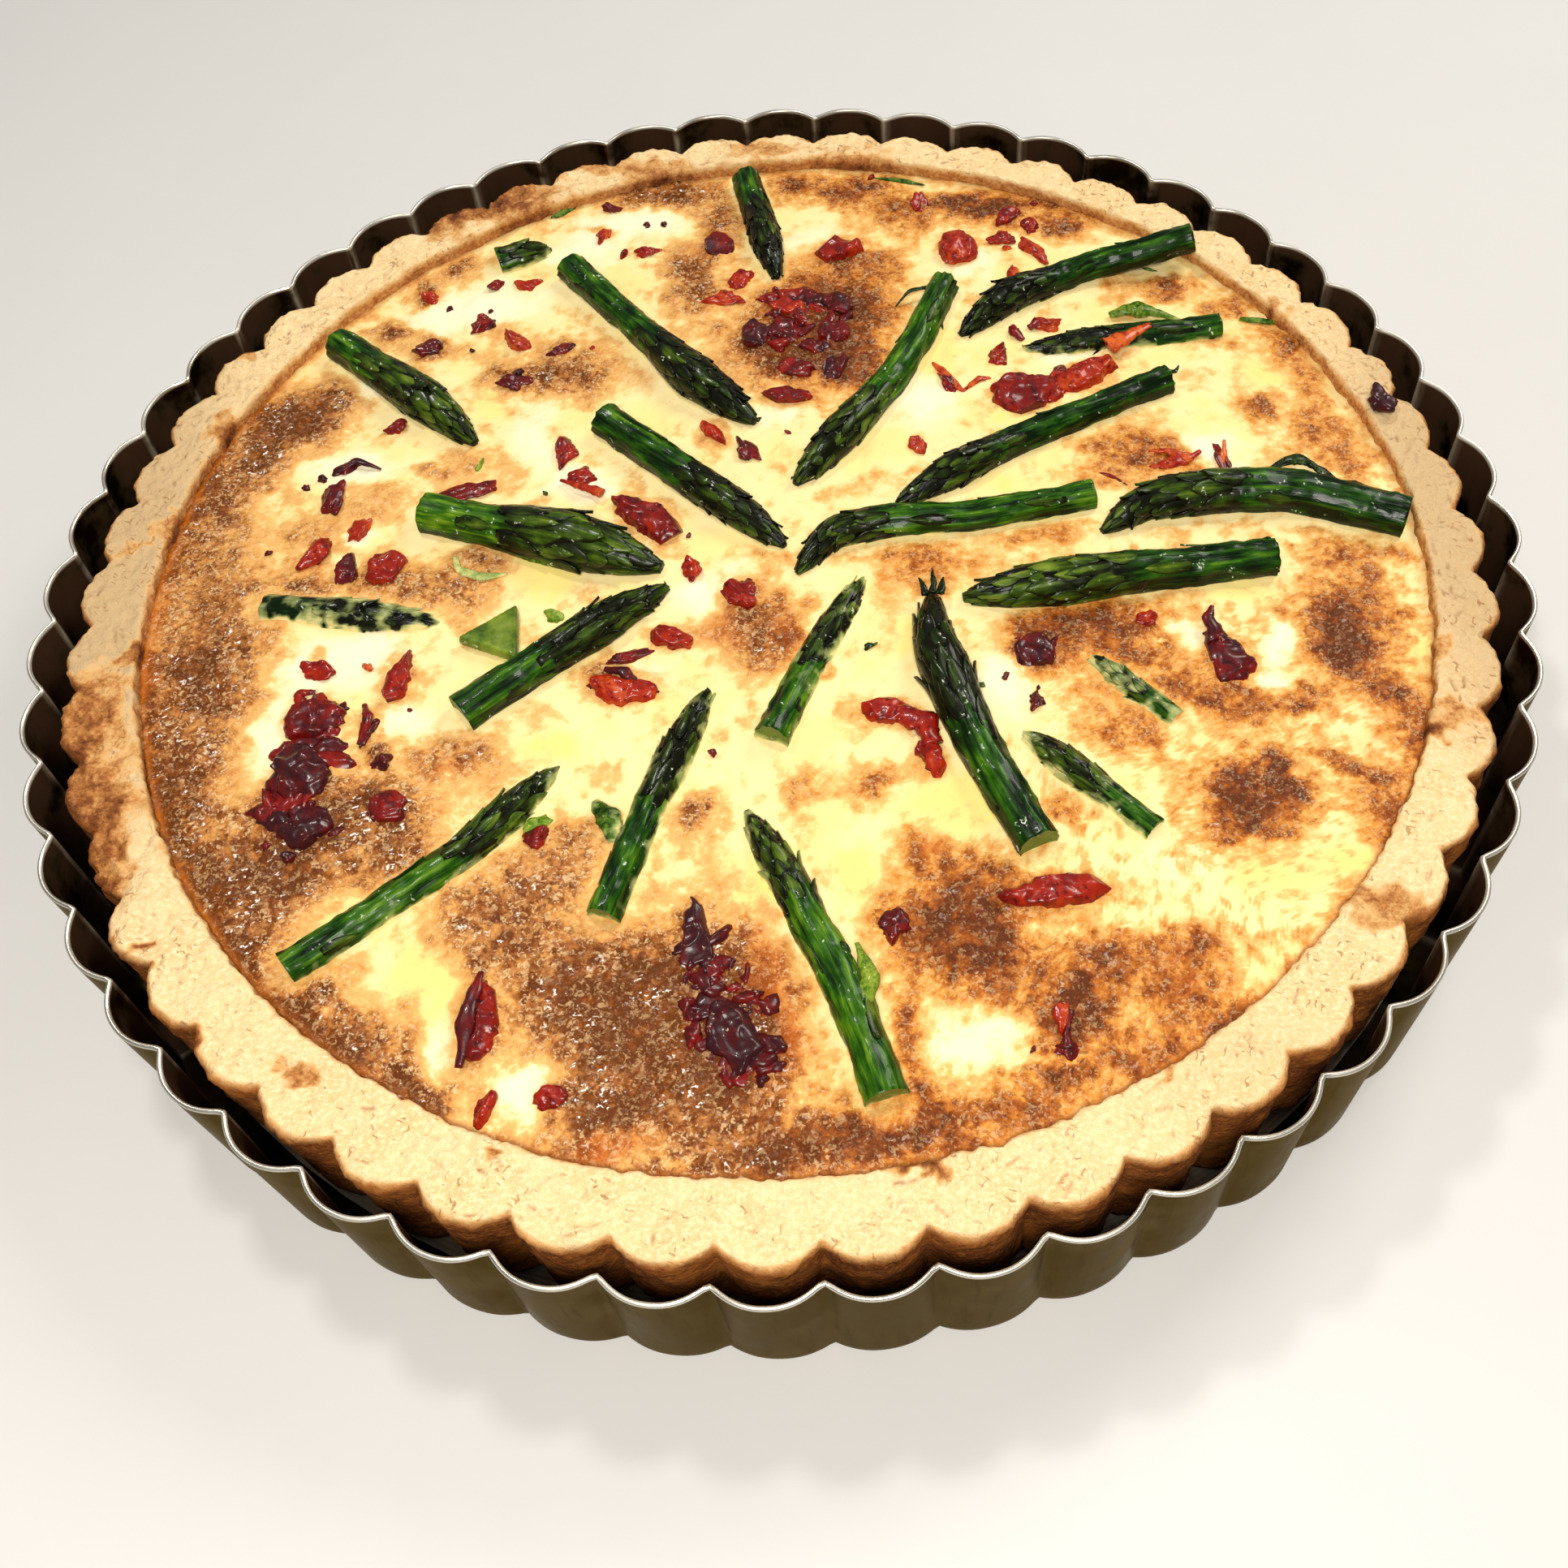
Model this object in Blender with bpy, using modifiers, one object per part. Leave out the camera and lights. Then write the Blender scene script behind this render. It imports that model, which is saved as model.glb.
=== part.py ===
"""An asparagus tart in its fluted, loose-bottomed tart tin.

Metres, +Z up. The origin is the middle of the tin's underside, on the table.
The tables of toppings below are in millimetres, seen from above.
"""

import math
import random
from collections import namedtuple

import bmesh
import bpy
from mathutils import Matrix, Vector, noise

MM = 0.001

# Flutes, shared by the tin and the crust that was baked against it
FLUTES = 52
SEGMENTS = FLUTES * 4
CUSP_ANGLE = math.radians(1.08)
CUSP_SHARPNESS = 2.2

# Tin
TIN_HEIGHT = 31 * MM
TIN_SHEET = 0.8 * MM
TIN_RIM_CREST = 139.5 * MM
TIN_RIM_DEPTH = 3.3 * MM
TIN_FOOT_CREST = 139.1 * MM
TIN_FOOT_DEPTH = 2.1 * MM
LIP_INNER_RADIUS = 127 * MM

# Loose base, a disc that lies on the tin's lip
BASE_RADIUS = 133 * MM
BASE_SEGMENTS = 78

# Distance kept between neighbouring solids
CLEARANCE = 0.3 * MM

# Crust
CRUST_CREST = 133.5 * MM
CRUST_DEPTH = 3.5 * MM
CRUST_FOOT_CREST = 132.6 * MM
CRUST_EDGE_ROUND = 1.2 * MM
CRUST_TOP = 29 * MM
CRUST_FLOOR = 4.5 * MM
CRUST_INNER_RADIUS = 121.3 * MM
CRUST_INNER_SHIFT = (1.1 * MM, 1.6 * MM)
CRUST_WALL_DRAFT = 1.5 * MM
CRUST_UNEVENNESS = 0.7 * MM
CRUST_TOP_UNEVENNESS = 0.45 * MM
CHIP_ANGLE = math.radians(206)
CHIP_SPREAD = math.radians(3.2)
CHIP_DEPTH = 2.4 * MM

# Filling
FILLING_EDGE = 26 * MM
FILLING_DOME = 2.0 * MM
FILLING_CELLS = 26
FILLING_RELIEF = 0.6 * MM
RELIEF_SIZE = 26 * MM

# Heights that follow from the others
BASE_BOTTOM = TIN_SHEET + CLEARANCE
CRUST_BOTTOM = BASE_BOTTOM + TIN_SHEET + CLEARANCE
FILLING_BOTTOM = CRUST_BOTTOM + CRUST_FLOOR + CLEARANCE

# Asparagus
SPEAR_SIDES_RESOLUTION = 2
SPEAR_UNEVENNESS = 0.05
TIP_SHARE = 0.14
BUD_LENGTH = 3.2
BUD_MOST = 0.6
PERCH_FADE = 2.2
SLICE_CENTRE = (-52.0, -12.5)
SLICE_RADIUS = 8 * MM
SLICE_HEADING = 93
SLICE_DEPTH = 5 * MM

# Bacon and browned bits
CHUNK_UNEVENNESS = 0.17
CHUNK_ROUNDING = 0.13
BIT_UNEVENNESS = 0.12
BIT_RISE = 0.4
SHADE_SPREAD = 0.25
SMOOTH_BELOW = math.radians(40)

# Colours of the pieces that vary, as linear red, green and blue
ASPARAGUS_COLOUR = (0.05, 0.13, 0.02)
SLICE_COLOUR = (0.16, 0.19, 0.03)
BACON_COLOUR = (0.30, 0.045, 0.025)

# path: bends from the cut end to the tip; stem and head: widths;
# lifts: height of the axis over the filling at the cut end, middle and tip, as shares of the radius;
# perch: extra height of the cut end where a spear lies over the crust.
Spear = namedtuple("Spear", "path stem head lifts perch", defaults=[(0.5, 0.5, 0.5), 0.0])

SPEARS = [
    Spear([(-3, 118.5), (3, 83)], 6.5, 7),
    Spear([(-42.5, 91), (-16.5, 53.5), (-3, 38.5)], 6.5, 9),
    Spear([(-91.5, 71.5), (-67, 47), (-60, 38.5)], 7.5, 9),
    Spear([(-33.5, 41.5), (2, 4.5)], 7.5, 7.5),
    Spear([(-68, 19.5), (-41, 9), (-21.5, 1)], 8, 11),
    Spear([(-57.5, -30), (-26.5, -7.5), (-20.5, -3.5)], 7, 8),
    Spear([(-83, -78), (-56, -59), (-39.5, -42)], 6, 7, (0.4, 0.1, 0.0)),
    Spear([(-31, -73), (-23, -50), (-13, -28)], 6, 7, (0.3, -0.2, 0.2)),
    Spear([(-2, -40.5), (5, -24), (16.5, -4)], 6.5, 6.5, (0.5, -0.3, 0.1)),
    Spear([(13.5, -108), (9, -91), (4, -78.5), (-1, -66.5), (-7, -54)], 7, 6, (0.4, 0.3, 0.1)),
    Spear([(42, -65.5), (35.5, -49), (31.5, -35.5), (28, -21.5), (29, -10)], 7.5, 9),
    Spear([(93.5, -6.5), (66, -9), (34.5, -11.5)], 7.5, 9.5),
    Spear([(120.3, 1), (101.5, 9), (86.5, 10.5), (72, 9), (62.5, 2.5)], 8.5, 8.5),
    Spear([(62, 12), (37, 8), (21, 8.5), (11, 7), (4, -2.5)], 6, 6.5),
    Spear([(81.5, 42.5), (49.5, 28), (24, 13.5)], 6, 7),
    Spear([(92.8, 80.5), (69, 78), (52.5, 71), (41, 60)], 6, 7.5, (0.5, 0.5, 0.5), 5.2),
    Spear([(95.5, 58.5), (70.5, 56.5), (53.5, 55)], 6, 6, (0.1, 0.0, 0.0)),
    Spear([(39, 76), (32.5, 60), (25, 46.5), (16.5, 35.5), (4.5, 20.5)], 6.5, 8),
    Spear([(62, -63.5), (42, -41.5)], 4.5, 6.5, (0.2, 0.0, 0.0)),
    Spear([(-97.5, 0), (-63.5, -7.5)], 6.5, 7, (-0.3, -0.1, -0.1)),
    Spear([(69.5, -41), (55.5, -25.5)], 4.5, 4.5, (-0.2, 0.0, -0.2)),
    Spear([(-59, 96), (-47.5, 99.5)], 6.5, 6, (0.2, 0.3, 0.2)),
]

# at: centre; length, width and heading (degrees) seen from above; rise: height over the filling;
# taper: share of the width lost at the far end; bend: sideways bow as a share of the length.
Chunk = namedtuple("Chunk", "at length width heading rise taper bend", defaults=[0.0, 0.0])

BACON = [
    Chunk((-9.5, 96), 9, 7, 100, 2.0),
    Chunk((17, 91.5), 12, 8, 15, 2.6, 0.3),
    Chunk((43, 89), 11, 8.5, 95, 3.0),
    Chunk((55, 99.5), 8, 6, 60, 1.8),
    Chunk((5, 73.5), 8, 6, 0, 1.8),
    Chunk((14.5, 64), 8, 8, 30, 1.8),
    Chunk((-2.5, 65), 10, 6.5, 90, 1.8),
    Chunk((5.5, 54), 8.5, 6.5, 170, 1.8),
    Chunk((14.5, 54), 10, 6, 65, 1.8),
    Chunk((4, 45.8), 11, 6, -10, 2.0, 0.3),
    Chunk((-11.5, 36.8), 11, 4, -52, 1.6, 0.3),
    Chunk((51.5, 42), 13, 12, 20, 2.6),
    Chunk((67, 47), 15, 9, 25, 2.6, 0.55),
    Chunk((-24.5, 14), 18, 8.5, -38, 2.6, -0.4),
    Chunk((-75, 7.5), 10, 8.5, 70, 2.2, 0.2),
    Chunk((-6.5, -6.5), 10, 9, -60, 2.0, 0.6),
    Chunk((-19.5, -15.5), 10, 6, -20, 2.0, 0.3),
    Chunk((-28.5, -27), 14, 7, -15, 2.2, 0.2, 0.12),
    Chunk((-70, -19.3), 13, 6, 72, 2.0, 0.5),
    Chunk((-85, -27.5), 12, 10, 10, 2.6, 0.2),
    Chunk((-85.5, -39), 12, 11, 80, 2.8),
    Chunk((-83.5, -51), 10, 9, 35, 2.6),
    Chunk((-69.5, -47.5), 8, 7, 0, 2.0),
    Chunk((19, -35.5), 10.5, 6.5, -10, 2.0, 0.2),
    Chunk((25.8, -46), 10, 5, -70, 2.0, 0.2),
    Chunk((46.5, -24.5), 9, 7.5, 20, 2.0),
    Chunk((80.5, -27.5), 13, 11, 110, 2.4, 0.7),
    Chunk((43.5, -74), 20, 7, 4, 2.6, -0.3),
    Chunk((-50.5, -89.5), 15, 7.5, 85, 2.2, 0.3),
    Chunk((-15.5, -76.5), 15, 8, 95, 2.0, 0.7),
    Chunk((-10, -95), 15, 9, -65, 2.0),
]

# Bits too small to be lifted off: x, y, length, width, heading
BITS = [
    (60, 96, 4, 3, 0),
    (53.2, 92.3, 5, 3.5, 20),
    (60.3, 87.5, 8, 3, -65),
    (54.5, 80.5, 5, 2.5, 80),
    (-5, 84, 5, 3.5, 30),
    (-8, 78, 6, 4, -20),
    (16.5, 74, 6, 5, 0),
    (37.3, 47, 6, 2.5, 110),
    (60, 62, 5, 3.5, 10),
    (48.5, 54, 5, 4, 60),
    (-53.5, 68.5, 7, 4, -40),
    (-43.5, 65.5, 6, 3.5, 15),
    (-77.5, 45.5, 4, 3, 0),
    (-5, 31.5, 6, 3, -70),
    (-41.5, 34, 5.5, 4, 60),
    (-38, 27, 5.5, 4, 20),
    (-85.5, 36, 6, 2.5, 30),
    (-88, 27, 7, 3.5, 75),
    (-59.5, 26.5, 8, 4, 10),
    (-81.5, 18, 5.5, 4, 60),
    (-89, 14, 6, 4, 70),
    (-83, 8, 7, 4.5, 100),
    (-16.3, 0.8, 4.5, 3.5, 80),
    (-29, -19, 7, 2.5, 10),
    (-86, -16, 5.5, 4, 0),
    (-74.5, -31, 5, 2.5, 80),
    (-71.5, -38, 4, 3, 0),
    (67.5, -18.5, 4, 3, 0),
    (17, -78, 5, 4, 0),
    (42, -101.5, 3.5, 3, 0),
    (42, -96, 5, 2.5, 80),
    (79.5, 20.5, 7, 2.5, 10),
    (89.5, 20.5, 8, 2.5, 95),
    (30, 29.5, 3, 3, 0),
    (-39, -103.5, 4, 3, 20),
    (-49, -104.5, 4, 2.5, 80),
    (-34.5, 113, 3.5, 3, 0),
    (-36, 103.5, 4, 3, 60),
    (-26, 96.5, 5, 3, 0),
    (-74, 86.5, 4, 3.5, 0),
    (-52.5, 88, 4, 3.5, 0),
    (-59.5, 89, 3.5, 3, 0),
    (-61, 75.5, 5, 4, 50),
    (-72, 68.5, 5.5, 4, 0),
    (-53.5, 56, 5, 4, 0),
    (45.5, -35, 4, 2.5, 90),
    (-43, -55.5, 4, 3.5, 0),
    (36, 106.5, 5, 3, 80),
]


def clear_scene():
    for obj in list(bpy.data.objects):
        bpy.data.objects.remove(obj, do_unlink=True)


def new_collection(name):
    collection = bpy.data.collections.new(name)
    bpy.context.scene.collection.children.link(collection)
    return collection


def new_material(name, colour, roughness, metallic=0.0):
    material = bpy.data.materials.new(name)
    material.use_nodes = True
    shader = material.node_tree.nodes["Principled BSDF"]
    shader.inputs["Base Color"].default_value = (*colour, 1.0)
    shader.inputs["Roughness"].default_value = roughness
    shader.inputs["Metallic"].default_value = metallic
    return material


def own_shade(name, colour, roughness, seed):
    """A material for one piece, a little lighter or darker than its neighbours."""
    shade = 1 + random.Random(seed).uniform(-SHADE_SPREAD, SHADE_SPREAD)
    return new_material(name, [part * shade for part in colour], roughness)


def new_object(name, mesh, collection, material):
    mesh.materials.clear()
    mesh.materials.append(material)
    obj = bpy.data.objects.new(name, mesh)
    collection.objects.link(obj)
    return obj


def mesh_from(bm, name):
    bmesh.ops.recalc_face_normals(bm, faces=bm.faces)
    mesh = bpy.data.meshes.new(name)
    bm.to_mesh(mesh)
    bm.free()
    mesh.shade_smooth()
    mesh.set_sharp_from_angle(angle=SMOOTH_BELOW)
    return mesh


def wave(x, y, z=0.0):
    """Smooth seeded unevenness, roughly -1 to 1."""
    return noise.noise(Vector((x, y, z)))


def fluted(crest, depth):
    """Radius by angle: broad rounded crests outwards, narrow cusps inwards."""

    def radius(angle):
        turn = (angle - CUSP_ANGLE) * FLUTES / (2 * math.pi)
        nearness = abs(turn % 1.0 - 0.5) * 2
        return crest - depth * nearness**CUSP_SHARPNESS

    return radius


def round_radius(radius):
    return lambda angle: radius


def crust_inner(angle, inset=0.0):
    """Radius of the crust's inner edge, hand-trimmed and a little off centre."""
    shift = CRUST_INNER_SHIFT[0] * math.cos(angle) + CRUST_INNER_SHIFT[1] * math.sin(angle)
    uneven = CRUST_UNEVENNESS * wave(5 * math.cos(angle), 5 * math.sin(angle))
    return CRUST_INNER_RADIUS + shift + uneven - inset


def angle_between(angle, other):
    return (angle - other + math.pi) % (2 * math.pi) - math.pi


def crust_top(angle, drop=0.0):
    """Height of the crust's cut top, with the chip broken out of its outer edge."""
    uneven = CRUST_TOP_UNEVENNESS * wave(9 * math.cos(angle), 9 * math.sin(angle), 4.0)
    away = angle_between(angle, CHIP_ANGLE) / CHIP_SPREAD
    chip = CHIP_DEPTH * math.exp(-away * away)
    return CRUST_TOP + uneven - drop - (chip if drop else 0.0)


def place(verts, radius, height):
    for vert in verts:
        angle = math.atan2(vert.co.y, vert.co.x)
        reach = radius(angle)
        level = height(angle) if callable(height) else height
        vert.co = (reach * math.cos(angle), reach * math.sin(angle), level)


def first_ring(bm, radius, height, segments=SEGMENTS):
    turn = Matrix.Rotation(CUSP_ANGLE, 4, "Z")
    made = bmesh.ops.create_circle(bm, segments=segments, radius=1.0, matrix=turn)
    place(made["verts"], radius, height)
    return list({edge for vert in made["verts"] for edge in vert.link_edges})


def next_ring(bm, edges, radius, height):
    """Extrudes the open edge ring and moves the new one to its radius and height."""
    made = bmesh.ops.extrude_edge_only(bm, edges=edges)
    verts = {item for item in made["geom"] if isinstance(item, bmesh.types.BMVert)}
    place(verts, radius, height)
    return [edge for edge in bm.edges if edge.verts[0] in verts and edge.verts[1] in verts]


def close_ring(bm, edges):
    bmesh.ops.contextual_create(bm, geom=edges)


def add_tin(collection, material):
    """The fluted ring: wall and inward lip as one open sheet, then given its thickness."""
    bm = bmesh.new()
    edges = first_ring(bm, fluted(TIN_RIM_CREST, TIN_RIM_DEPTH), TIN_HEIGHT)
    edges = next_ring(bm, edges, fluted(TIN_FOOT_CREST, TIN_FOOT_DEPTH), 0.0)
    next_ring(bm, edges, round_radius(LIP_INNER_RADIUS), 0.0)
    tin = new_object("tart_tin", mesh_from(bm, "tart_tin"), collection, material)
    sheet = tin.modifiers.new("sheet", "SOLIDIFY")
    sheet.thickness = TIN_SHEET
    sheet.offset = -1.0
    sheet.use_even_offset = True


def add_base(collection, material):
    bm = bmesh.new()
    edges = first_ring(bm, round_radius(BASE_RADIUS), BASE_BOTTOM, BASE_SEGMENTS)
    close_ring(bm, edges)
    edges = next_ring(bm, edges, round_radius(BASE_RADIUS), BASE_BOTTOM + TIN_SHEET)
    close_ring(bm, edges)
    new_object("tin_base", mesh_from(bm, "tin_base"), collection, material)


def add_crust(collection, material):
    bm = bmesh.new()
    edges = first_ring(bm, fluted(CRUST_FOOT_CREST, CRUST_DEPTH), CRUST_BOTTOM)
    close_ring(bm, edges)
    edges = next_ring(
        bm, edges, fluted(CRUST_CREST, CRUST_DEPTH), lambda angle: crust_top(angle, CRUST_EDGE_ROUND)
    )
    edges = next_ring(bm, edges, fluted(CRUST_CREST - CRUST_EDGE_ROUND, CRUST_DEPTH), crust_top)
    edges = next_ring(bm, edges, crust_inner, crust_top)
    edges = next_ring(
        bm, edges, lambda angle: crust_inner(angle, CRUST_WALL_DRAFT), CRUST_BOTTOM + CRUST_FLOOR
    )
    close_ring(bm, edges)
    new_object("crust", mesh_from(bm, "crust"), collection, material)


def filling_height(x, y):
    """Height of the baked surface: a shallow dome with soft hills."""
    share = min(1.0, math.hypot(x, y) / CRUST_INNER_RADIUS)
    u = x / RELIEF_SIZE
    v = y / RELIEF_SIZE
    hills = wave(u, v, 7.0) + 0.5 * wave(2 * u, 2 * v)
    return FILLING_EDGE + FILLING_DOME * (1 - share * share) + FILLING_RELIEF * hills * (1 - share**8)


def disc_from_square(a, b):
    """Maps a square of half-side 1 to a disc of radius 1, keeping the cells' sizes even."""
    if a == 0 and b == 0:
        return 0.0, 0.0
    if abs(a) > abs(b):
        return a, math.pi / 4 * b / a
    return b, math.pi / 2 - math.pi / 4 * a / b


def filling_mesh(name, rise, inset):
    bm = bmesh.new()
    bmesh.ops.create_grid(bm, x_segments=FILLING_CELLS, y_segments=FILLING_CELLS, size=1.0)
    edges = [edge for edge in bm.edges if edge.is_boundary]
    for vert in bm.verts:
        share, angle = disc_from_square(vert.co.x, vert.co.y)
        angle += CUSP_ANGLE
        x = share * math.cos(angle)
        y = share * math.sin(angle)
        reach = crust_inner(math.atan2(y, x), inset)
        vert.co = (x * reach, y * reach, filling_height(x * reach, y * reach) + rise)
    edges = next_ring(
        bm, edges, lambda angle: crust_inner(angle, inset + CRUST_WALL_DRAFT), FILLING_BOTTOM
    )
    close_ring(bm, edges)
    return mesh_from(bm, name)


def evaluated_mesh(obj):
    bpy.context.view_layer.update()
    graph = bpy.context.evaluated_depsgraph_get()
    return bpy.data.meshes.new_from_object(obj.evaluated_get(graph))


def fuse(target, parts):
    """Joins the solids of a collection to the target, then removes them."""
    union = target.modifiers.new("fused bits", "BOOLEAN")
    union.operation = "UNION"
    union.operand_type = "COLLECTION"
    union.collection = parts
    union.solver = "EXACT"
    joined = evaluated_mesh(target)
    target.modifiers.remove(union)
    target.data = joined
    for obj in list(parts.objects):
        bpy.data.objects.remove(obj, do_unlink=True)
    bpy.data.collections.remove(parts)


def chunk_mesh(name, chunk, seed, unevenness):
    """A rough block, half of it under the filling's surface."""
    rng = random.Random(seed)
    bm = bmesh.new()
    bmesh.ops.create_cube(bm, size=2.0)
    bmesh.ops.subdivide_edges(bm, edges=bm.edges, cuts=1, use_grid_fill=True)
    heading = math.radians(chunk.heading)
    centre = Vector((chunk.at[0] * MM, chunk.at[1] * MM))
    half = (chunk.length * MM / 2, chunk.width * MM / 2, chunk.rise * MM)
    for vert in bm.verts:
        u, v, w = vert.co
        roundness = 1.0 - CHUNK_ROUNDING * (abs(u * v) + abs(v * w) + abs(w * u))
        v *= 1 - max(0.0, chunk.taper) * (1 + u) / 2 - max(0.0, -chunk.taper) * (1 - u) / 2
        along = half[0] * u * roundness * (1 + rng.uniform(-unevenness, unevenness))
        across = half[1] * v * roundness * (1 + rng.uniform(-unevenness, unevenness))
        across += chunk.bend * 2 * half[0] * (u * u - 0.5)
        x = centre.x + along * math.cos(heading) - across * math.sin(heading)
        y = centre.y + along * math.sin(heading) + across * math.cos(heading)
        z = filling_height(centre.x, centre.y)
        z += half[2] * w * roundness * (1 + rng.uniform(-unevenness, unevenness))
        vert.co = (x, y, z)
    return mesh_from(bm, name)


def bit_mesh(name, row, seed):
    """A crumb: a small uneven ball, flattened and half sunk."""
    x, y, length, width, heading = row
    rng = random.Random(seed)
    bm = bmesh.new()
    bmesh.ops.create_icosphere(bm, subdivisions=1, radius=1.0)
    turn = Matrix.Rotation(math.radians(heading), 3, "Z")
    middle = Vector((x * MM, y * MM, filling_height(x * MM, y * MM)))
    half = Vector((length * MM / 2, width * MM / 2, width * MM * BIT_RISE))
    for vert in bm.verts:
        grown = half * vert.co * (1 + rng.uniform(-BIT_UNEVENNESS, BIT_UNEVENNESS))
        vert.co = middle + turn @ grown
    return mesh_from(bm, name)


def add_filling(collection, material):
    mesh = filling_mesh("filling", 0.0, CLEARANCE)
    filling = new_object("filling", mesh, collection, material)
    bits = new_collection("bits")
    for number, row in enumerate(BITS):
        new_object(f"bit_{number}", bit_mesh("bit", row, number), bits, material)
    fuse(filling, bits)
    filling.name = "filling"


def add_cutter(collection, material):
    """A copy of the filling, raised by the clearance, that trims what lies on it."""
    mesh = filling_mesh("filling_cutter", CLEARANCE, 0.0)
    cutter = new_object("filling_cutter", mesh, collection, material)
    cutter.hide_render = True
    cutter.display_type = "WIRE"
    return cutter


def trim(obj, cutter):
    cut = obj.modifiers.new("rests on filling", "BOOLEAN")
    cut.operation = "DIFFERENCE"
    cut.object = cutter
    cut.solver = "EXACT"


def path_point(path, distance):
    """Point at this distance along the bends, in millimetres."""
    for start, end in zip(path, path[1:]):
        step = math.dist(start, end)
        if distance <= step or end is path[-1]:
            share = distance / step
            return start[0] + share * (end[0] - start[0]), start[1] + share * (end[1] - start[1])
        distance -= step
    return path[-1]


def spear_stations(spear):
    """Pairs of distance from the cut end and width: an even stem, then the swelling and tapering head."""
    length = sum(math.dist(a, b) for a, b in zip(spear.path, spear.path[1:]))
    bud = min(spear.head * BUD_LENGTH, length * BUD_MOST)
    stem = length - bud
    return length, [
        (0.0, spear.stem),
        (stem * 0.35, spear.stem * 0.98),
        (stem * 0.7, spear.stem),
        (stem, (spear.stem + spear.head) / 2),
        (stem + bud * 0.4, spear.head),
        (stem + bud * 0.7, spear.head * 0.75),
        (stem + bud * 0.9, spear.head * 0.45),
        (length, spear.head * TIP_SHARE),
    ]


def blend(three, share):
    """Value at this share of the way through first, middle and last."""
    if share < 0.5:
        return three[0] + (three[1] - three[0]) * share * 2
    return three[1] + (three[2] - three[1]) * (share * 2 - 1)


def tube_mesh(name, points, widths):
    """A round tube with filled ends, from a bevelled curve."""
    curve = bpy.data.curves.new(name, "CURVE")
    curve.dimensions = "3D"
    curve.bevel_depth = MM / 2
    curve.bevel_resolution = SPEAR_SIDES_RESOLUTION
    curve.use_fill_caps = True
    spline = curve.splines.new("POLY")
    spline.points.add(len(points) - 1)
    for knot, point, width in zip(spline.points, points, widths):
        knot.co = (*point, 1.0)
        knot.radius = width
    guide = bpy.data.objects.new(name, curve)
    bpy.context.scene.collection.objects.link(guide)
    mesh = evaluated_mesh(guide)
    bpy.data.objects.remove(guide, do_unlink=True)
    bm = bmesh.new()
    bm.from_mesh(mesh)
    bmesh.ops.remove_doubles(bm, verts=bm.verts, dist=0.01 * MM)
    return mesh_from(bm, name)


def spear_mesh(name, spear, seed):
    rng = random.Random(seed)
    length, stations = spear_stations(spear)
    points = []
    widths = []
    for distance, width in stations:
        width *= 1 + rng.uniform(-SPEAR_UNEVENNESS, SPEAR_UNEVENNESS)
        share = distance / length
        x, y = (value * MM for value in path_point(spear.path, distance))
        lift = blend(spear.lifts, share) * max(width, spear.head * 0.5) * MM / 2
        perch = spear.perch * MM * max(0.0, 1 - share * PERCH_FADE)
        points.append((x, y, filling_height(x, y) + lift + perch))
        widths.append(width)
    return tube_mesh(name, points, widths)


def slice_mesh(name):
    """A flat three-cornered slice of stem."""
    bm = bmesh.new()
    x, y = (value * MM for value in SLICE_CENTRE)
    lie = Matrix.Translation((x, y, filling_height(x, y)))
    lie @= Matrix.Rotation(math.radians(SLICE_HEADING), 4, "Z")
    bmesh.ops.create_cone(
        bm,
        cap_ends=True,
        segments=3,
        radius1=SLICE_RADIUS,
        radius2=SLICE_RADIUS * 0.9,
        depth=SLICE_DEPTH,
        matrix=lie,
    )
    return mesh_from(bm, name)


def add_asparagus(collection, cutter):
    for number, spear in enumerate(SPEARS, 1):
        name = f"asparagus_{number:02d}"
        green = own_shade(name, ASPARAGUS_COLOUR, 0.4, number)
        trim(new_object(name, spear_mesh(name, spear, number), collection, green), cutter)
    name = "asparagus_slice"
    green = own_shade(name, SLICE_COLOUR, 0.4, 0)
    trim(new_object(name, slice_mesh(name), collection, green), cutter)


def add_bacon(collection, cutter):
    for number, chunk in enumerate(BACON, 1):
        name = f"bacon_{number:02d}"
        red = own_shade(name, BACON_COLOUR, 0.35, number)
        mesh = chunk_mesh(name, chunk, number, CHUNK_UNEVENNESS)
        trim(new_object(name, mesh, collection, red), cutter)


def main():
    clear_scene()
    tart = new_collection("asparagus_tart")
    helpers = new_collection("helpers")
    metal = new_material("tin wall", (0.36, 0.33, 0.27), 0.38, 0.9)
    plate = new_material("tin base", (0.32, 0.30, 0.26), 0.42, 0.9)
    pastry = new_material("baked pastry", (0.74, 0.52, 0.29), 0.75)
    custard = new_material("baked custard", (0.88, 0.74, 0.36), 0.45)
    add_tin(tart, metal)
    add_base(tart, plate)
    add_crust(tart, pastry)
    add_filling(tart, custard)
    cutter = add_cutter(helpers, custard)
    add_asparagus(tart, cutter)
    add_bacon(tart, cutter)


main()
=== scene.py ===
import math
import random
from collections import namedtuple

import bmesh
import bpy
import numpy as np
from mathutils import Matrix, Vector, noise


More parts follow.
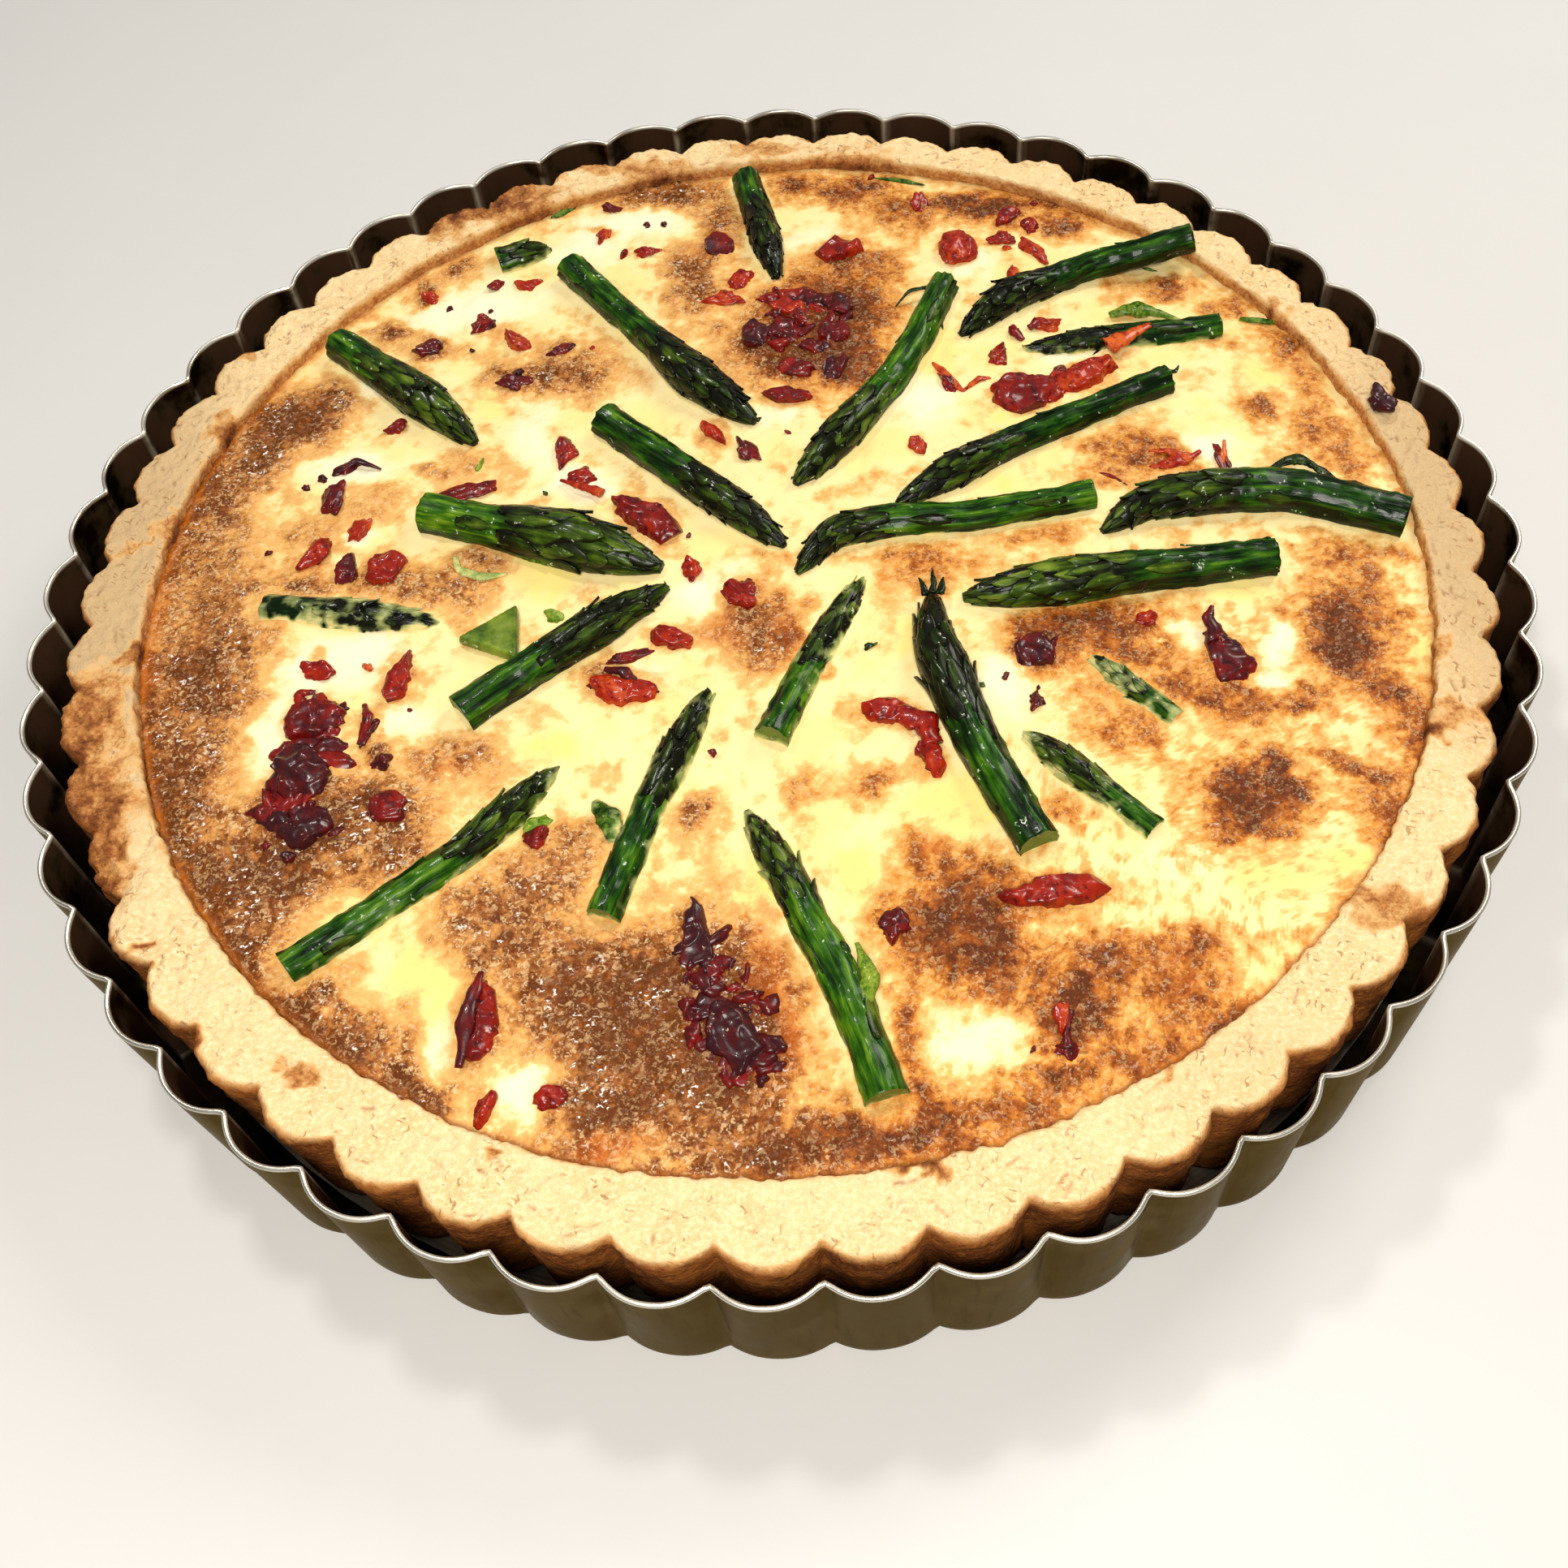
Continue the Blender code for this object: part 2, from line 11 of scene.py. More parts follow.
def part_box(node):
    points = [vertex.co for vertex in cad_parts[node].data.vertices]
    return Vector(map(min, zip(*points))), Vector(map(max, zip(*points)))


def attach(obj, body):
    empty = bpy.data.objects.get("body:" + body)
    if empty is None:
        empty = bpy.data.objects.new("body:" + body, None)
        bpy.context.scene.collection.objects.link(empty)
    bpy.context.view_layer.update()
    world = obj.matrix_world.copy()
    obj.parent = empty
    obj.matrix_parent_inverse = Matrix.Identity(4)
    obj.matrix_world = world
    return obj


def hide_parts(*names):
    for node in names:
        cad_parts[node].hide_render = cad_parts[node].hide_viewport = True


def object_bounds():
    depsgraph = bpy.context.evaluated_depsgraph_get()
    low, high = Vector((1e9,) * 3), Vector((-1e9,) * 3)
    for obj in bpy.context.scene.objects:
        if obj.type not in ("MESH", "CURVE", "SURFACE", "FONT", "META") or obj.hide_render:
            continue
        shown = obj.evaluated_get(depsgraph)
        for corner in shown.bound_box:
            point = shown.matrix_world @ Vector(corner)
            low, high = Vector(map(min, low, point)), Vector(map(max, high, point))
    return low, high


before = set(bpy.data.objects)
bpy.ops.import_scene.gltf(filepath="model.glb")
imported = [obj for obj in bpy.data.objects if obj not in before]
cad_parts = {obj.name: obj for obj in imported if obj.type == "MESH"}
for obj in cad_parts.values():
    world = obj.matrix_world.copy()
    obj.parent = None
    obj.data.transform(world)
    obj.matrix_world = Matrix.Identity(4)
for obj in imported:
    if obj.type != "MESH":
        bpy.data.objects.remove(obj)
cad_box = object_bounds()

# Lengths below are in millimetres, seen from above as in the frame; MM turns them into metres.
MM = 0.001

# Flutes, shared by the tin and the crust that was baked against it
FLUTES = 52
CUSP_ANGLE = math.radians(1.08)
CUSP_SHARPNESS = 2.2

# Tin
TIN_HEIGHT = 31.0
TIN_SHEET = 0.8
TIN_RIM_CREST = 139.48
TIN_RIM_DEPTH = 3.3
TIN_FOOT_CREST = 139.1
TIN_FOOT_DEPTH = 2.1
TIN_FOOT_ROUND = 1.4
TIN_FOOT_INSET = 0.7
TIN_BEVEL = 0.25
TIN_FOOT_LEVELS = (0.0, 0.35, 0.8, 1.4)
TIN_WALL_LEVELS = (3, 6, 9, 12, 15, 18, 21, 24, 27, 29, 30.2)
TIN_LIP_LEVEL = 1.6
TIN_INNER_EDGE = 0.6
TIN_CUSP_START = 2.4
LIP_INNER_RADIUS = 127.0
TIN_COLUMNS = FLUTES * 18

# Crust
CRUST_BOTTOM = 2.2
CRUST_FLOOR = 6.7
CRUST_TOP = 29.0
CRUST_CREST = 133.5
CRUST_DEPTH = 3.5
CRUST_FOOT_CREST = 132.6
CRUST_ROUND = 1.7
CRUST_INNER_ROUND = 0.7
CRUST_INNER_RADIUS = 121.3
CRUST_INNER_SHIFT = (1.1, 1.6)
CRUST_WALL_DRAFT = 1.5
CRUST_UNEVENNESS = 0.7
CRUST_TOP_UNEVENNESS = 0.45
CHIP_ANGLE = math.radians(206)
CHIP_SPREAD = math.radians(3.2)
CHIP_DROP = 1.6
CHIP_INWARD = 1.5
CRUST_COLUMNS = FLUTES * 28

# Filling
FILLING_BOTTOM = 7.0
FILLING_EDGE = 26.0
FILLING_DOME = 2.0
FILLING_RELIEF = 0.6
RELIEF_SIZE = 26.0
FILLING_CELLS = 300
FILLING_TUCK = 0.25
FILLING_FOOT_GAP = 0.3

# Asparagus: path bends from the cut end to the tip; stem and head are widths;
# lifts are heights of the axis over the filling as shares of the radius; perch lifts the cut end;
# veil says how far the custard has crept over the spear.
Spear = namedtuple("Spear", "path stem head lifts perch veil", defaults=[(0.5, 0.5, 0.5), 0.0, 0.1])
SPEARS = [
    Spear([(-3, 118.5), (3, 83)], 6.5, 7),
    Spear([(-42.5, 91), (-16.5, 53.5), (-3, 38.5)], 6.5, 9),
    Spear([(-91.5, 71.5), (-67, 47), (-60, 38.5)], 7.5, 9),
    Spear([(-33.5, 41.5), (2, 4.5)], 7.5, 7.5),
    Spear([(-68, 19.5), (-41, 9), (-21.5, 1)], 8, 11),
    Spear([(-57.5, -30), (-26.5, -7.5), (-20.5, -3.5)], 7, 8),
    Spear([(-83, -78), (-56, -59), (-39.5, -42)], 6, 7, (0.4, 0.1, 0.0), 0.0, 0.6),
    Spear([(-31, -73), (-23, -50), (-13, -28)], 6, 7, (0.3, -0.2, 0.2), 0.0, 0.8),
    Spear([(-2, -40.5), (5, -24), (16.5, -4)], 6.5, 6.5, (0.5, -0.3, 0.1), 0.0, 0.8),
    Spear([(13.5, -108), (9, -91), (4, -78.5), (-1, -66.5), (-7, -54)], 7, 6, (0.4, 0.3, 0.1), 0.0, 0.8),
    Spear([(42, -65.5), (35.5, -49), (31.5, -35.5), (28, -21.5), (29, -10)], 7.5, 9),
    Spear([(93.5, -6.5), (66, -9), (34.5, -11.5)], 7.5, 9.5, veil=0.2),
    Spear([(120.3, 1), (101.5, 9), (86.5, 10.5), (72, 9), (62.5, 2.5)], 8.5, 8.5),
    Spear([(62, 12), (37, 8), (21, 8.5), (11, 7), (4, -2.5)], 6, 6.5, veil=0.25),
    Spear([(81.5, 42.5), (49.5, 28), (24, 13.5)], 6, 7),
    Spear([(92.8, 80.5), (69, 78), (52.5, 71), (41, 60)], 6, 7.5, (0.5, 0.5, 0.5), 5.2),
    Spear([(95.5, 58.5), (70.5, 56.5), (53.5, 55)], 6, 6, (0.1, 0.0, 0.0), 0.0, 0.6),
    Spear([(39, 76), (32.5, 60), (25, 46.5), (16.5, 35.5), (4.5, 20.5)], 6.5, 8, veil=0.2),
    Spear([(62, -63.5), (42, -41.5)], 4.5, 6.5, (0.2, 0.0, 0.0), 0.0, 1.0),
    Spear([(-97.5, 0), (-63.5, -7.5)], 6.5, 7, (-0.3, -0.1, -0.1), 0.0, 1.5),
    Spear([(69.5, -41), (55.5, -25.5)], 4.5, 4.5, (-0.2, 0.0, -0.2), 0.0, 1.0),
    Spear([(-59, 96), (-47.5, 99.5)], 6.5, 6, (0.2, 0.3, 0.2), 0.0, 0.6),
]
SPEAR_UNEVENNESS = 0.05
TIP_SHARE = 0.14
BUD_LENGTH = 3.2
BUD_MOST = 0.6
PERCH_FADE = 2.2
SPEAR_STEP = 0.55
SPEAR_SIDES = 28
PATH_ROUNDING = 40
WIDTH_ROUNDING = 12
GOLDEN_ANGLE = math.radians(137.5)
SPEAR_SEED = 100

# Tone of each spear's stem and head: 0 is near black, 1 a light yellow green
SPEAR_TONES = [
    (0.35, 0.1), (0.5, 0.15), (0.5, 0.5), (0.4, 0.3), (0.8, 0.45), (0.4, 0.3), (0.65, 0.5), (0.5, 0.3),
    (0.5, 0.4), (0.7, 0.6), (0.3, 0.0), (0.35, 0.7), (0.3, 0.35), (0.65, 0.3), (0.25, 0.3), (0.3, 0.3),
    (0.4, 0.15), (0.65, 0.6), (0.5, 0.45), (-0.2, -0.1), (0.5, 0.4), (0.5, 0.45),
]

# Loose leaves and curled threads of a spear: x, y, height over the filling; widths; tone
CURLS = {
    5: [([(-49, 8, 0.8), (-43, 5.5, 1.4), (-36, 4.5, 0.7)], (2, 4.6, 1), 0.85)],
    8: [([(-33, -50, 0.8), (-30.5, -54, 1.6), (-29.5, -58.5, 0.5)], (1.5, 4.6, 1.5), 0.6)],
    10: [
        ([(10, -95, 3.0), (12.5, -89, 3.7), (10.5, -82, 3.2)], (1.2, 3.8, 0.8), 1.3),
        ([(5, -84, 2.6), (8.5, -82, 3.6), (9.5, -87, 3.0)], (0.6, 2.2, 0.6), 0.1),
    ],
    11: [
        ([(27.6, -12, 3.4), (27.2, -9.5, 3.6), (26.6, -7.6, 3.2)], (1.6, 1.0, 0.3), 0.0),
        ([(29, -12, 3.8), (29.2, -8.5, 4.0), (29.3, -6, 3.8)], (1.6, 1.0, 0.3), 0.0),
        ([(30.3, -12, 3.4), (30.8, -9.5, 3.6), (31.2, -7.8, 3.0)], (1.6, 1.0, 0.3), 0.0),
    ],
    13: [
        ([(96, 14.5, 2.5), (101.5, 16.2, 4.2), (105, 13.5, 4.4), (109, 10.5, 3.4)],
         (0.6, 2.6, 2.2, 0.6), 0.1),
    ],
    15: [([(81, 43, 3.2), (83.2, 42.6, 3.6), (84, 44, 4.0)], (1.6, 0.9, 0.3), 0.0)],
    17: [([(73, 63.5, 1.0), (79, 64.5, 1.9), (88, 61.5, 0.8)], (1.5, 4.2, 0.6), 0.95)],
    18: [
        ([(35.5, 73.5, 3.0), (31, 73.5, 2.4), (28, 70.5, 0.7)], (1.3, 0.9, 0.3), 0.15),
        ([(38.8, 71.5, 3.0), (37.2, 66.5, 2.0), (37.5, 62.5, 0.5)], (1.8, 1.2, 0.3), 0.15),
    ],
}

# Green flecks in the custard: x, y, length, width, heading, tone
FLECKS = [
    (-42, -8, 4.5, 2.2, -25, 1.2), (-43.5, -53.5, 5, 3.6, 40, 1.3), (36, 107.5, 5, 2.6, 80, 1.0),
    (33, 115.5, 9, 1.4, -22, 0.6), (103.5, 60.5, 7, 1.6, -15, 0.7), (-46, 113, 6, 1.4, 35, 0.6),
    (-45, 23.5, 1.2, 1.0, 0, 0.0), (-59, 33, 3, 1.4, 60, 1.2), (16.5, -20.5, 2.6, 1.0, 30, 0.3),
    (36, -31, 1.6, 1.2, 0, 0.1), (-29, 76, 1.8, 1.6, 0, 1.2), (84, 78.5, 3, 0.9, -20, 0.3),
]
FLECK_ARCS = [
    ([(-62, 9, 0.3), (-61, 5, 0.6), (-56.5, 2.6, 0.7), (-51.5, 3.6, 0.3)], (0.8, 1.8, 2.0, 0.7), 1.3),
    ([(52, -6.5, 0.4), (46, -5.2, 0.9), (42, -6, 0.5)], (0.7, 1.8, 0.6), 0.5),
]

# Bacon pieces keep the solids' forms; tone runs from dark purple, 0, to orange-red, 1
BACON_TONES = [
    0.30, 0.60, 0.70, 0.50, 0.66, 0.32, 0.12, 0.42, 0.22, 0.45, 0.66, 0.50, 0.72, 0.40, 0.55, 0.55,
    0.60, 0.68, 0.55, 0.35, 0.15, 0.10, 0.40, 0.66, 0.55, 0.20, 0.25, 0.58, 0.50, 0.05, 0.05,
]
BACON_CELL = 0.32
BACON_SINK = 0.9
SLICE_CELL = 0.4
SLICE_GRAIN = 4
SLICE_RELIEF = 0.08

# Bits fused to the filling in the solids: x, y, length, width, heading
BITS = [
    (60, 96, 4, 3, 0), (53.2, 92.3, 5, 3.5, 20), (60.3, 87.5, 8, 3, -65), (54.5, 80.5, 5, 2.5, 80),
    (-5, 84, 5, 3.5, 30), (-8, 78, 6, 4, -20), (16.5, 74, 6, 5, 0), (37.3, 47, 6, 2.5, 110),
    (60, 62, 5, 3.5, 10), (48.5, 54, 5, 4, 60), (-53.5, 68.5, 7, 4, -40), (-43.5, 65.5, 6, 3.5, 15),
    (-77.5, 45.5, 4, 3, 0), (-5, 31.5, 6, 3, -70), (-41.5, 34, 5.5, 4, 60), (-38, 27, 5.5, 4, 20),
    (-85.5, 36, 6, 2.5, 30), (-88, 27, 7, 3.5, 75), (-59.5, 26.5, 8, 4, 10), (-81.5, 18, 5.5, 4, 60),
    (-89, 14, 6, 4, 70), (-83, 8, 7, 4.5, 100), (-16.3, 0.8, 4.5, 3.5, 80), (-29, -19, 7, 2.5, 10),
    (-86, -16, 5.5, 4, 0), (-74.5, -31, 5, 2.5, 80), (-71.5, -38, 4, 3, 0), (67.5, -18.5, 4, 3, 0),
    (17, -78, 5, 4, 0), (42, -101.5, 3.5, 3, 0), (42, -96, 5, 2.5, 80), (79.5, 20.5, 7, 2.5, 10),
    (89.5, 20.5, 8, 2.5, 95), (30, 29.5, 3, 3, 0), (-39, -103.5, 4, 3, 20), (-49, -104.5, 4, 2.5, 80),
    (-34.5, 113, 3.5, 3, 0), (-36, 103.5, 4, 3, 60), (-26, 96.5, 5, 3, 0), (-74, 86.5, 4, 3.5, 0),
    (-52.5, 88, 4, 3.5, 0), (-59.5, 89, 3.5, 3, 0), (-61, 75.5, 5, 4, 50), (-72, 68.5, 5.5, 4, 0),
    (-53.5, 56, 5, 4, 0), (45.5, -35, 4, 2.5, 90), (-43, -55.5, 4, 3.5, 0), (36, 106.5, 5, 3, 80),
]

# Dark crumbs: x, y, size, tone
CRUMBS = [
    (-26, 105.5, 1.7, 0.2), (-22, 105.7, 1.5, 0.25), (-31, 96.5, 2.2, 0.5), (-69, 82, 2.0, 0.15),
    (3.5, 36, 1.3, 0.5), (40.5, -29.5, 1.5, 0.3), (46, -32.5, 1.0, 0.1), (-63, 67.5, 1.1, 0.2),
    (-60, 80, 1.4, 0.2), (-61, 78, 2.2, 0.5), (-37, 65, 1.3, 0.6), (-99, 14, 1.4, 0.3),
    (-76, -16.5, 2.0, 0.95), (-67.5, -27, 1.2, 0.4), (54, 89, 2.0, 0.8), (-52.5, 59, 2.6, 0.05),
    (-16.5, 9.5, 1.3, 0.4), (-12.5, -41.5, 1.7, 0.3), (-94, 31, 1.5, 0.2), (-91, 33, 2.2, 0.1),
    (26, 117.7, 1.8, 0.6), (-86, -56, 3.0, 0.1), (-78, -52, 2.2, 0.2), (62, 104, 1.6, 0.5),
    (45.5, -36, 1.4, 0.8), (-34, -25, 2.4, 0.3), (16, 41, 1.2, 0.6), (37, -101, 1.2, 0.3),
]
BURNT_CRUMB = (122.2, 30.5, 5.2)
CRUMB_FACETS = 13
FLAT_CUTS = 10

# Heights of the middles of small pieces over the filling, and the seed that scatters them
FLECK_LIFT = 0.2
BIT_LIFT = 0.25
CRUMB_LIFT = 0.3
CLUSTER_LIFT = -0.1
BITS_SEED = 5

# Thin strips of bacon: x, y, height over the filling; widths; tone
STRIPS = [
    ([(34.5, 53, 0.2), (37, 48.5, 0.5), (40, 44, 0.2)], (0.8, 2.2, 0.8), 0.95),
    ([(40, 44, 0.2), (43.5, 47, 0.5), (46, 47.5, 0.2)], (0.8, 1.6, 0.6), 0.95),
    ([(75, 24, 0.3), (79, 23, 0.9), (82.5, 20.8, 0.8), (85, 22.5, 1.2)], (0.7, 1.7, 2.4, 0.8), 0.85),
    ([(90, 24.5, 1.8), (89.5, 21, 1.0), (88, 17.5, 0.3)], (0.5, 1.5, 0.7), 1.1),
    ([(64, 19.5, 0.1), (67, 17.5, 0.4), (70, 14.5, 0.1)], (0.4, 0.9, 0.4), 0.4),
    ([(43.5, -95, 0.5), (42.6, -98, 0.9), (42, -101.5, 0.8)], (1.2, 0.9, 2.2), 0.25),
    ([(-76, -25, 0.5), (-74.5, -29, 1.4), (-76, -34, 0.5)], (0.8, 2.2, 0.8), 0.4),
    ([(-79, 34, 0.6), (-84, 36.5, 1.4), (-88, 34, 0.8)], (0.6, 1.6, 0.6), 0.1),
    ([(-32, -21.5, 0.8), (-28.5, -23, 1.6), (-26, -26, 0.8), (-22, -27.5, 0.3)], (1.2, 2.4, 2.0, 0.6), 0.15),
    ([(60.5, 62.5, 0.6), (58, 62.6, 1.2), (55.5, 61.5, 0.5)], (1.4, 3.2, 1.4), 0.6),
    ([(54, 58, 0.4), (52, 60.5, 0.9), (52.5, 63, 0.3)], (1.2, 2.8, 0.9), 0.5),
    ([(21, -36.5, 0.9), (25, -38.5, 1.5), (26, -43.5, 1.2)], (4.0, 5.5, 4.0), 0.6),
]

# Masses of small bacon crumbs: x, y, half-length, half-width, heading, count, size, tone
CLUSTERS = [
    (-11, -91, 13, 6.5, -65, 46, 5.0, 0.2), (-16, -81, 6, 4, 80, 8, 5.5, 0.15),
    (-86, -35, 13, 4.5, 72, 26, 6.5, 0.32), (-86, -50, 6, 4, 30, 9, 5.0, 0.1),
    (9, 68, 9, 9, 20, 40, 5.4, 0.25), (6, 76, 6, 4, 0, 10, 5.0, 0.5),
    (59, 44.5, 4.5, 3.5, 20, 8, 7.5, 0.5), (47, -22, 4, 2.5, 0, 6, 2.0, 0.15),
]

# Tails that belong to a piece of bacon
TAILS = {
    13: ([(71, 52.5, 2.2), (76, 55, 3.0), (80.5, 57.8, 3.0)], (4.4, 2.6, 1.5), 0.95),
    14: ([(-33.5, 20.5, 2.0), (-37.5, 23.3, 1.7), (-42, 26.3, 0.8)], (2.8, 1.6, 0.7), 0.75),
    20: ([(-87, -25, 1.6), (-87.5, -22.8, 2.4), (-84.5, -23, 2.6)], (2.6, 2.0, 0.9), 0.5),
    27: ([(79.5, -25, 1.6), (78.3, -21, 2.6), (79.6, -18.4, 2.9)], (4.0, 2.4, 0.8), 0.2),
    29: ([(-53.3, -97.5, 1.2), (-52.2, -90, 3.0), (-50.5, -81.5, 1.8)], (1.2, 3.4, 1.0), 0.3),
}

# Browned areas: x, y, half-width, half-depth, darkness
BROWNED = [
    (-99, 50, 9, 8, 1.0), (-92, 56, 7, 5, 0.8), (-105, 42, 6, 6, 0.75), (-111, 31, 8, 12, 0.6),
    (-113, 14, 8, 14, 0.42), (-107, 0, 12, 13, 0.38), (-110, -18, 10, 14, 0.64), (-103, -12, 9, 9, 0.5),
    (-108, -38, 9, 14, 0.72), (-103, -56, 11, 11, 0.66), (-92, 3, 7, 5, 0.55), (-96, -62, 12, 10, 0.62),
    (-87, -60, 8, 7, 0.85), (-84, -48, 8, 6, 0.8), (-74, -49, 12, 8, 0.55), (-60, -38, 9, 5, 0.5),
    (-68, -58, 12, 7, 0.48), (-95, -73, 9, 7, 0.68), (-83, -84, 10, 7, 0.75), (-72, -92, 10, 6, 0.7),
    (-62, -100, 8, 5, 0.68), (-50, -70, 10, 7, 0.52), (-44, -64, 9, 6, 0.42), (-48, -76, 6, 5, 0.5),
    (-25, -90, 16, 14, 1.0), (-36, -84, 8, 8, 0.8), (-12, -100, 12, 11, 0.85), (-30, -105, 11, 6, 0.9),
    (-8, -87, 6, 9, 0.9), (-38, -57, 6, 4, 0.4), (-17, -54, 3.5, 3, 0.55), (-31, -62, 9, 6, 0.26),
    (-33, -22, 3.5, 3, 0.5), (-4, -14, 7, 8, 0.66), (3, -18, 4, 6, 0.55), (-74, -30, 3, 4, 0.6),
    (-72, -37, 3, 2, 0.5), (-86, -14, 3, 3, 0.4), (-62, 0, 9, 7, 0.4), (-75, 3, 9, 5, 0.4),
    (-56, 8, 5, 4, 0.55), (-92, 19, 7, 5, 0.36), (-78, 26, 6, 5, 0.25), (-62, 34, 7, 6, 0.28),
    (-45, 58, 12, 7, 0.5), (-39, 57, 7, 5, 0.45), (-54, 58, 4, 3, 0.6), (-81, 75, 3.5, 3.5, 0.8),
    (-75, 88, 3, 3.5, 0.8), (-71, 70, 4, 4, 0.6), (-44, 67, 4, 3, 0.5), (-58, 72, 4, 3, 0.2),
    (-16, 86, 5, 11, 0.56), (-14, 80, 5, 6, 0.4), (-20, 116, 12, 5, 0.74), (-8, 104, 5, 7, 0.62),
    (-36, 104, 3, 3, 0.45), (-66, 96, 6, 4, 0.4), (8, 117, 5, 4, 0.76), (20, 113, 9, 5, 0.66),
    (30, 105, 6, 6, 0.5), (45, 106, 9, 4, 0.8), (53, 103, 7, 4, 0.8), (67, 97, 5, 4, 0.8),
    (36, 99, 6, 3, 0.35), (62, 104, 8, 3, 0.4), (12, 72, 14, 14, 0.84), (5, 60, 12, 9, 0.85),
    (18, 58, 7, 11, 0.7), (23, 80, 6, 7, 0.4), (20, 88, 9, 4, 0.34), (87, 72, 5, 3, 0.6),
    (98, 65, 5, 4, 0.42), (76, 75, 6, 3, 0.26), (108, 52, 3, 5, 0.5), (99, 34.5, 4, 4, 0.68),
    (108, 26, 3, 5, 0.4), (113, 18, 4, 9, 0.32), (111, 40, 3, 12, 0.3), (72, 25, 10, 6, 0.4),
    (79, 22, 6, 4, 0.48), (66, 17, 5, 4, 0.36), (92, 56, 6, 2.5, 0.36), (28, -2, 9, 7, 0.42),
    (50, 3, 8, 3.5, 0.3), (2, 3, 6, 3, 0.25), (57, -18, 13, 4, 0.74), (47, -22, 4, 3, 0.95),
    (60, -26, 12, 7, 0.52), (75, -35, 9, 6, 0.46), (85, -40, 7, 4, 0.5), (62, -42, 6, 5, 0.4),
    (103, -24, 6.5, 10.5, 0.97), (108, -5, 7, 4, 0.38), (112, -16, 4, 9, 0.36), (108, -38, 5, 6, 0.42),
    (112, -46, 4, 8, 0.4), (78, -60, 7, 7, 0.97), (84, -54, 4.5, 5, 0.85), (97, -53, 4, 4, 0.4),
    (103, -56, 4, 3, 0.42), (101, -63, 3, 5, 0.4), (15, -49, 5, 3, 0.32), (3, -51, 4, 4, 0.3),
    (22, -64, 3, 4, 0.5), (27, -78, 9, 10, 0.88), (31, -85, 7, 6, 0.85), (17, -78, 3, 3, 0.5),
    (44, -94, 6, 8, 0.88), (51, -87, 8, 5, 0.45), (67, -86, 3, 5, 0.5), (61, -92, 8, 6, 0.38),
    (40, -106, 6, 3, 0.5), (53, -103, 9, 4, 0.48), (66, -97, 7, 3, 0.36), (5, -113, 12, 4, 0.82),
    (20, -112, 9, 4, 0.72), (-8, -114, 10, 4, 0.74), (15, -106, 6, 3, 0.6), (17.5, -97, 2.5, 8, 0.45),
    (33, -111, 7, 3, 0.5), (47, -58, 3, 2, 0.35), (92, -38, 5, 3, 0.4),
    (35, -70, 7, 5, 0.38), (105, 50, 6, 6, 0.12),
]
HALO_GROWTH = 1.65
HALO_SHARE = 0.42

# Pale cheese: x, y, half-width, half-depth, strength
CHEESE = [
    (-30, 107, 15, 8, 1.0), (-40, 99, 9, 6, 0.9), (-60, 82, 15, 9, 1.0), (-71, 80, 9, 7, 0.9),
    (-86, 58, 6, 5, 0.8), (-48, 40, 6, 14, 0.8), (-38, 25, 7, 6, 1.0), (-85, 35, 11, 5, 1.0),
    (-82, 16, 5, 4, 1.0), (-76, -14, 9, 7, 1.0), (-86, -15, 9, 9, 1.0), (-93, -29, 4, 12, 0.9),
    (-70, -29, 7, 6, 0.9), (-64, -37, 6, 6, 0.6), (-14, -5, 7, 5, 1.0), (-25, -23, 6, 3, 1.0),
    (-56, -94, 5, 7, 0.8), (-42, -103, 7, 7, 1.0), (27, -98, 11, 9, 0.7), (40, -31, 6, 9, 0.9),
    (75, -22, 5, 4, 0.9), (88, -34, 5, 6, 1.0), (91, -25, 4, 6, 1.0), (32, 42, 8, 8, 1.0),
    (46, 84, 6, 6, 0.9), (12, 97, 9, 4, 0.6), (63, 53, 6, 4, 0.9), (87, 24, 6, 6, 1.0),
    (92, 17, 4, 4, 0.9), (3, 43, 7, 5, 0.8), (-8, 0, 5, 4, 0.6), (66, -70, 8, 5, 0.35),
]

# Deeper yellow custard: x, y, half-width, half-depth, strength
YELLOW = [
    (-45, 3, 9, 7, 1.0), (-59, 50, 5, 7, 0.7), (35, 57, 6, 12, 0.9), (45, 18, 9, 5, 0.7),
    (30, -56, 11, 7, 0.9), (11, -68, 5, 7, 1.0), (95, -72, 12, 6, 1.0), (116, -32, 4, 15, 1.0),
    (113, 46, 4, 12, 0.9), (-60, -81, 8, 6, 1.0), (-58, -88, 3, 7, 1.0), (-42, -38, 7, 5, 0.7),
    (25, -19, 4, 7, 0.9), (102, 45, 8, 6, 0.7), (80, -72, 9, 6, 0.8), (-25, 42, 6, 8, 0.6),
    (86, -12, 12, 4, 0.8), (-5, -68, 5, 9, 0.7), (52, 38, 9, 4, 0.8), (60, 84, 8, 4, 0.5),
]

# Orange, fatty places: x, y, half-width, half-depth, strength
ORANGE = [
    (-4, -84, 4, 9, 0.9), (-2, -96, 4, 7, 0.8), (-62, -104, 6, 2.5, 1.0), (-28, -112, 8, 2.5, 0.9),
    (-10, -14, 4, 6, 0.9), (3, -16, 3, 5, 0.6), (24, -64, 2.5, 3, 0.8), (-90, 12, 3, 6, 0.5),
    (-28, 55, 5, 4, 0.5), (-14, 96, 4, 5, 0.5), (8, 78, 8, 5, 0.6), (62, -90, 3, 5, 0.5),
    (104, -45, 4, 8, 0.4), (-119, -5, 2.5, 25, 0.7), (-58, -40, 4, 2, 0.8), (-72, 70, 2.5, 2.5, 0.7),
]

# Bubbles baked into rings: x, y, radius
RINGS = [(8, -25.5, 1.5), (97, -53, 1.6), (-69, 33, 1.3), (60, -10, 1.2)]

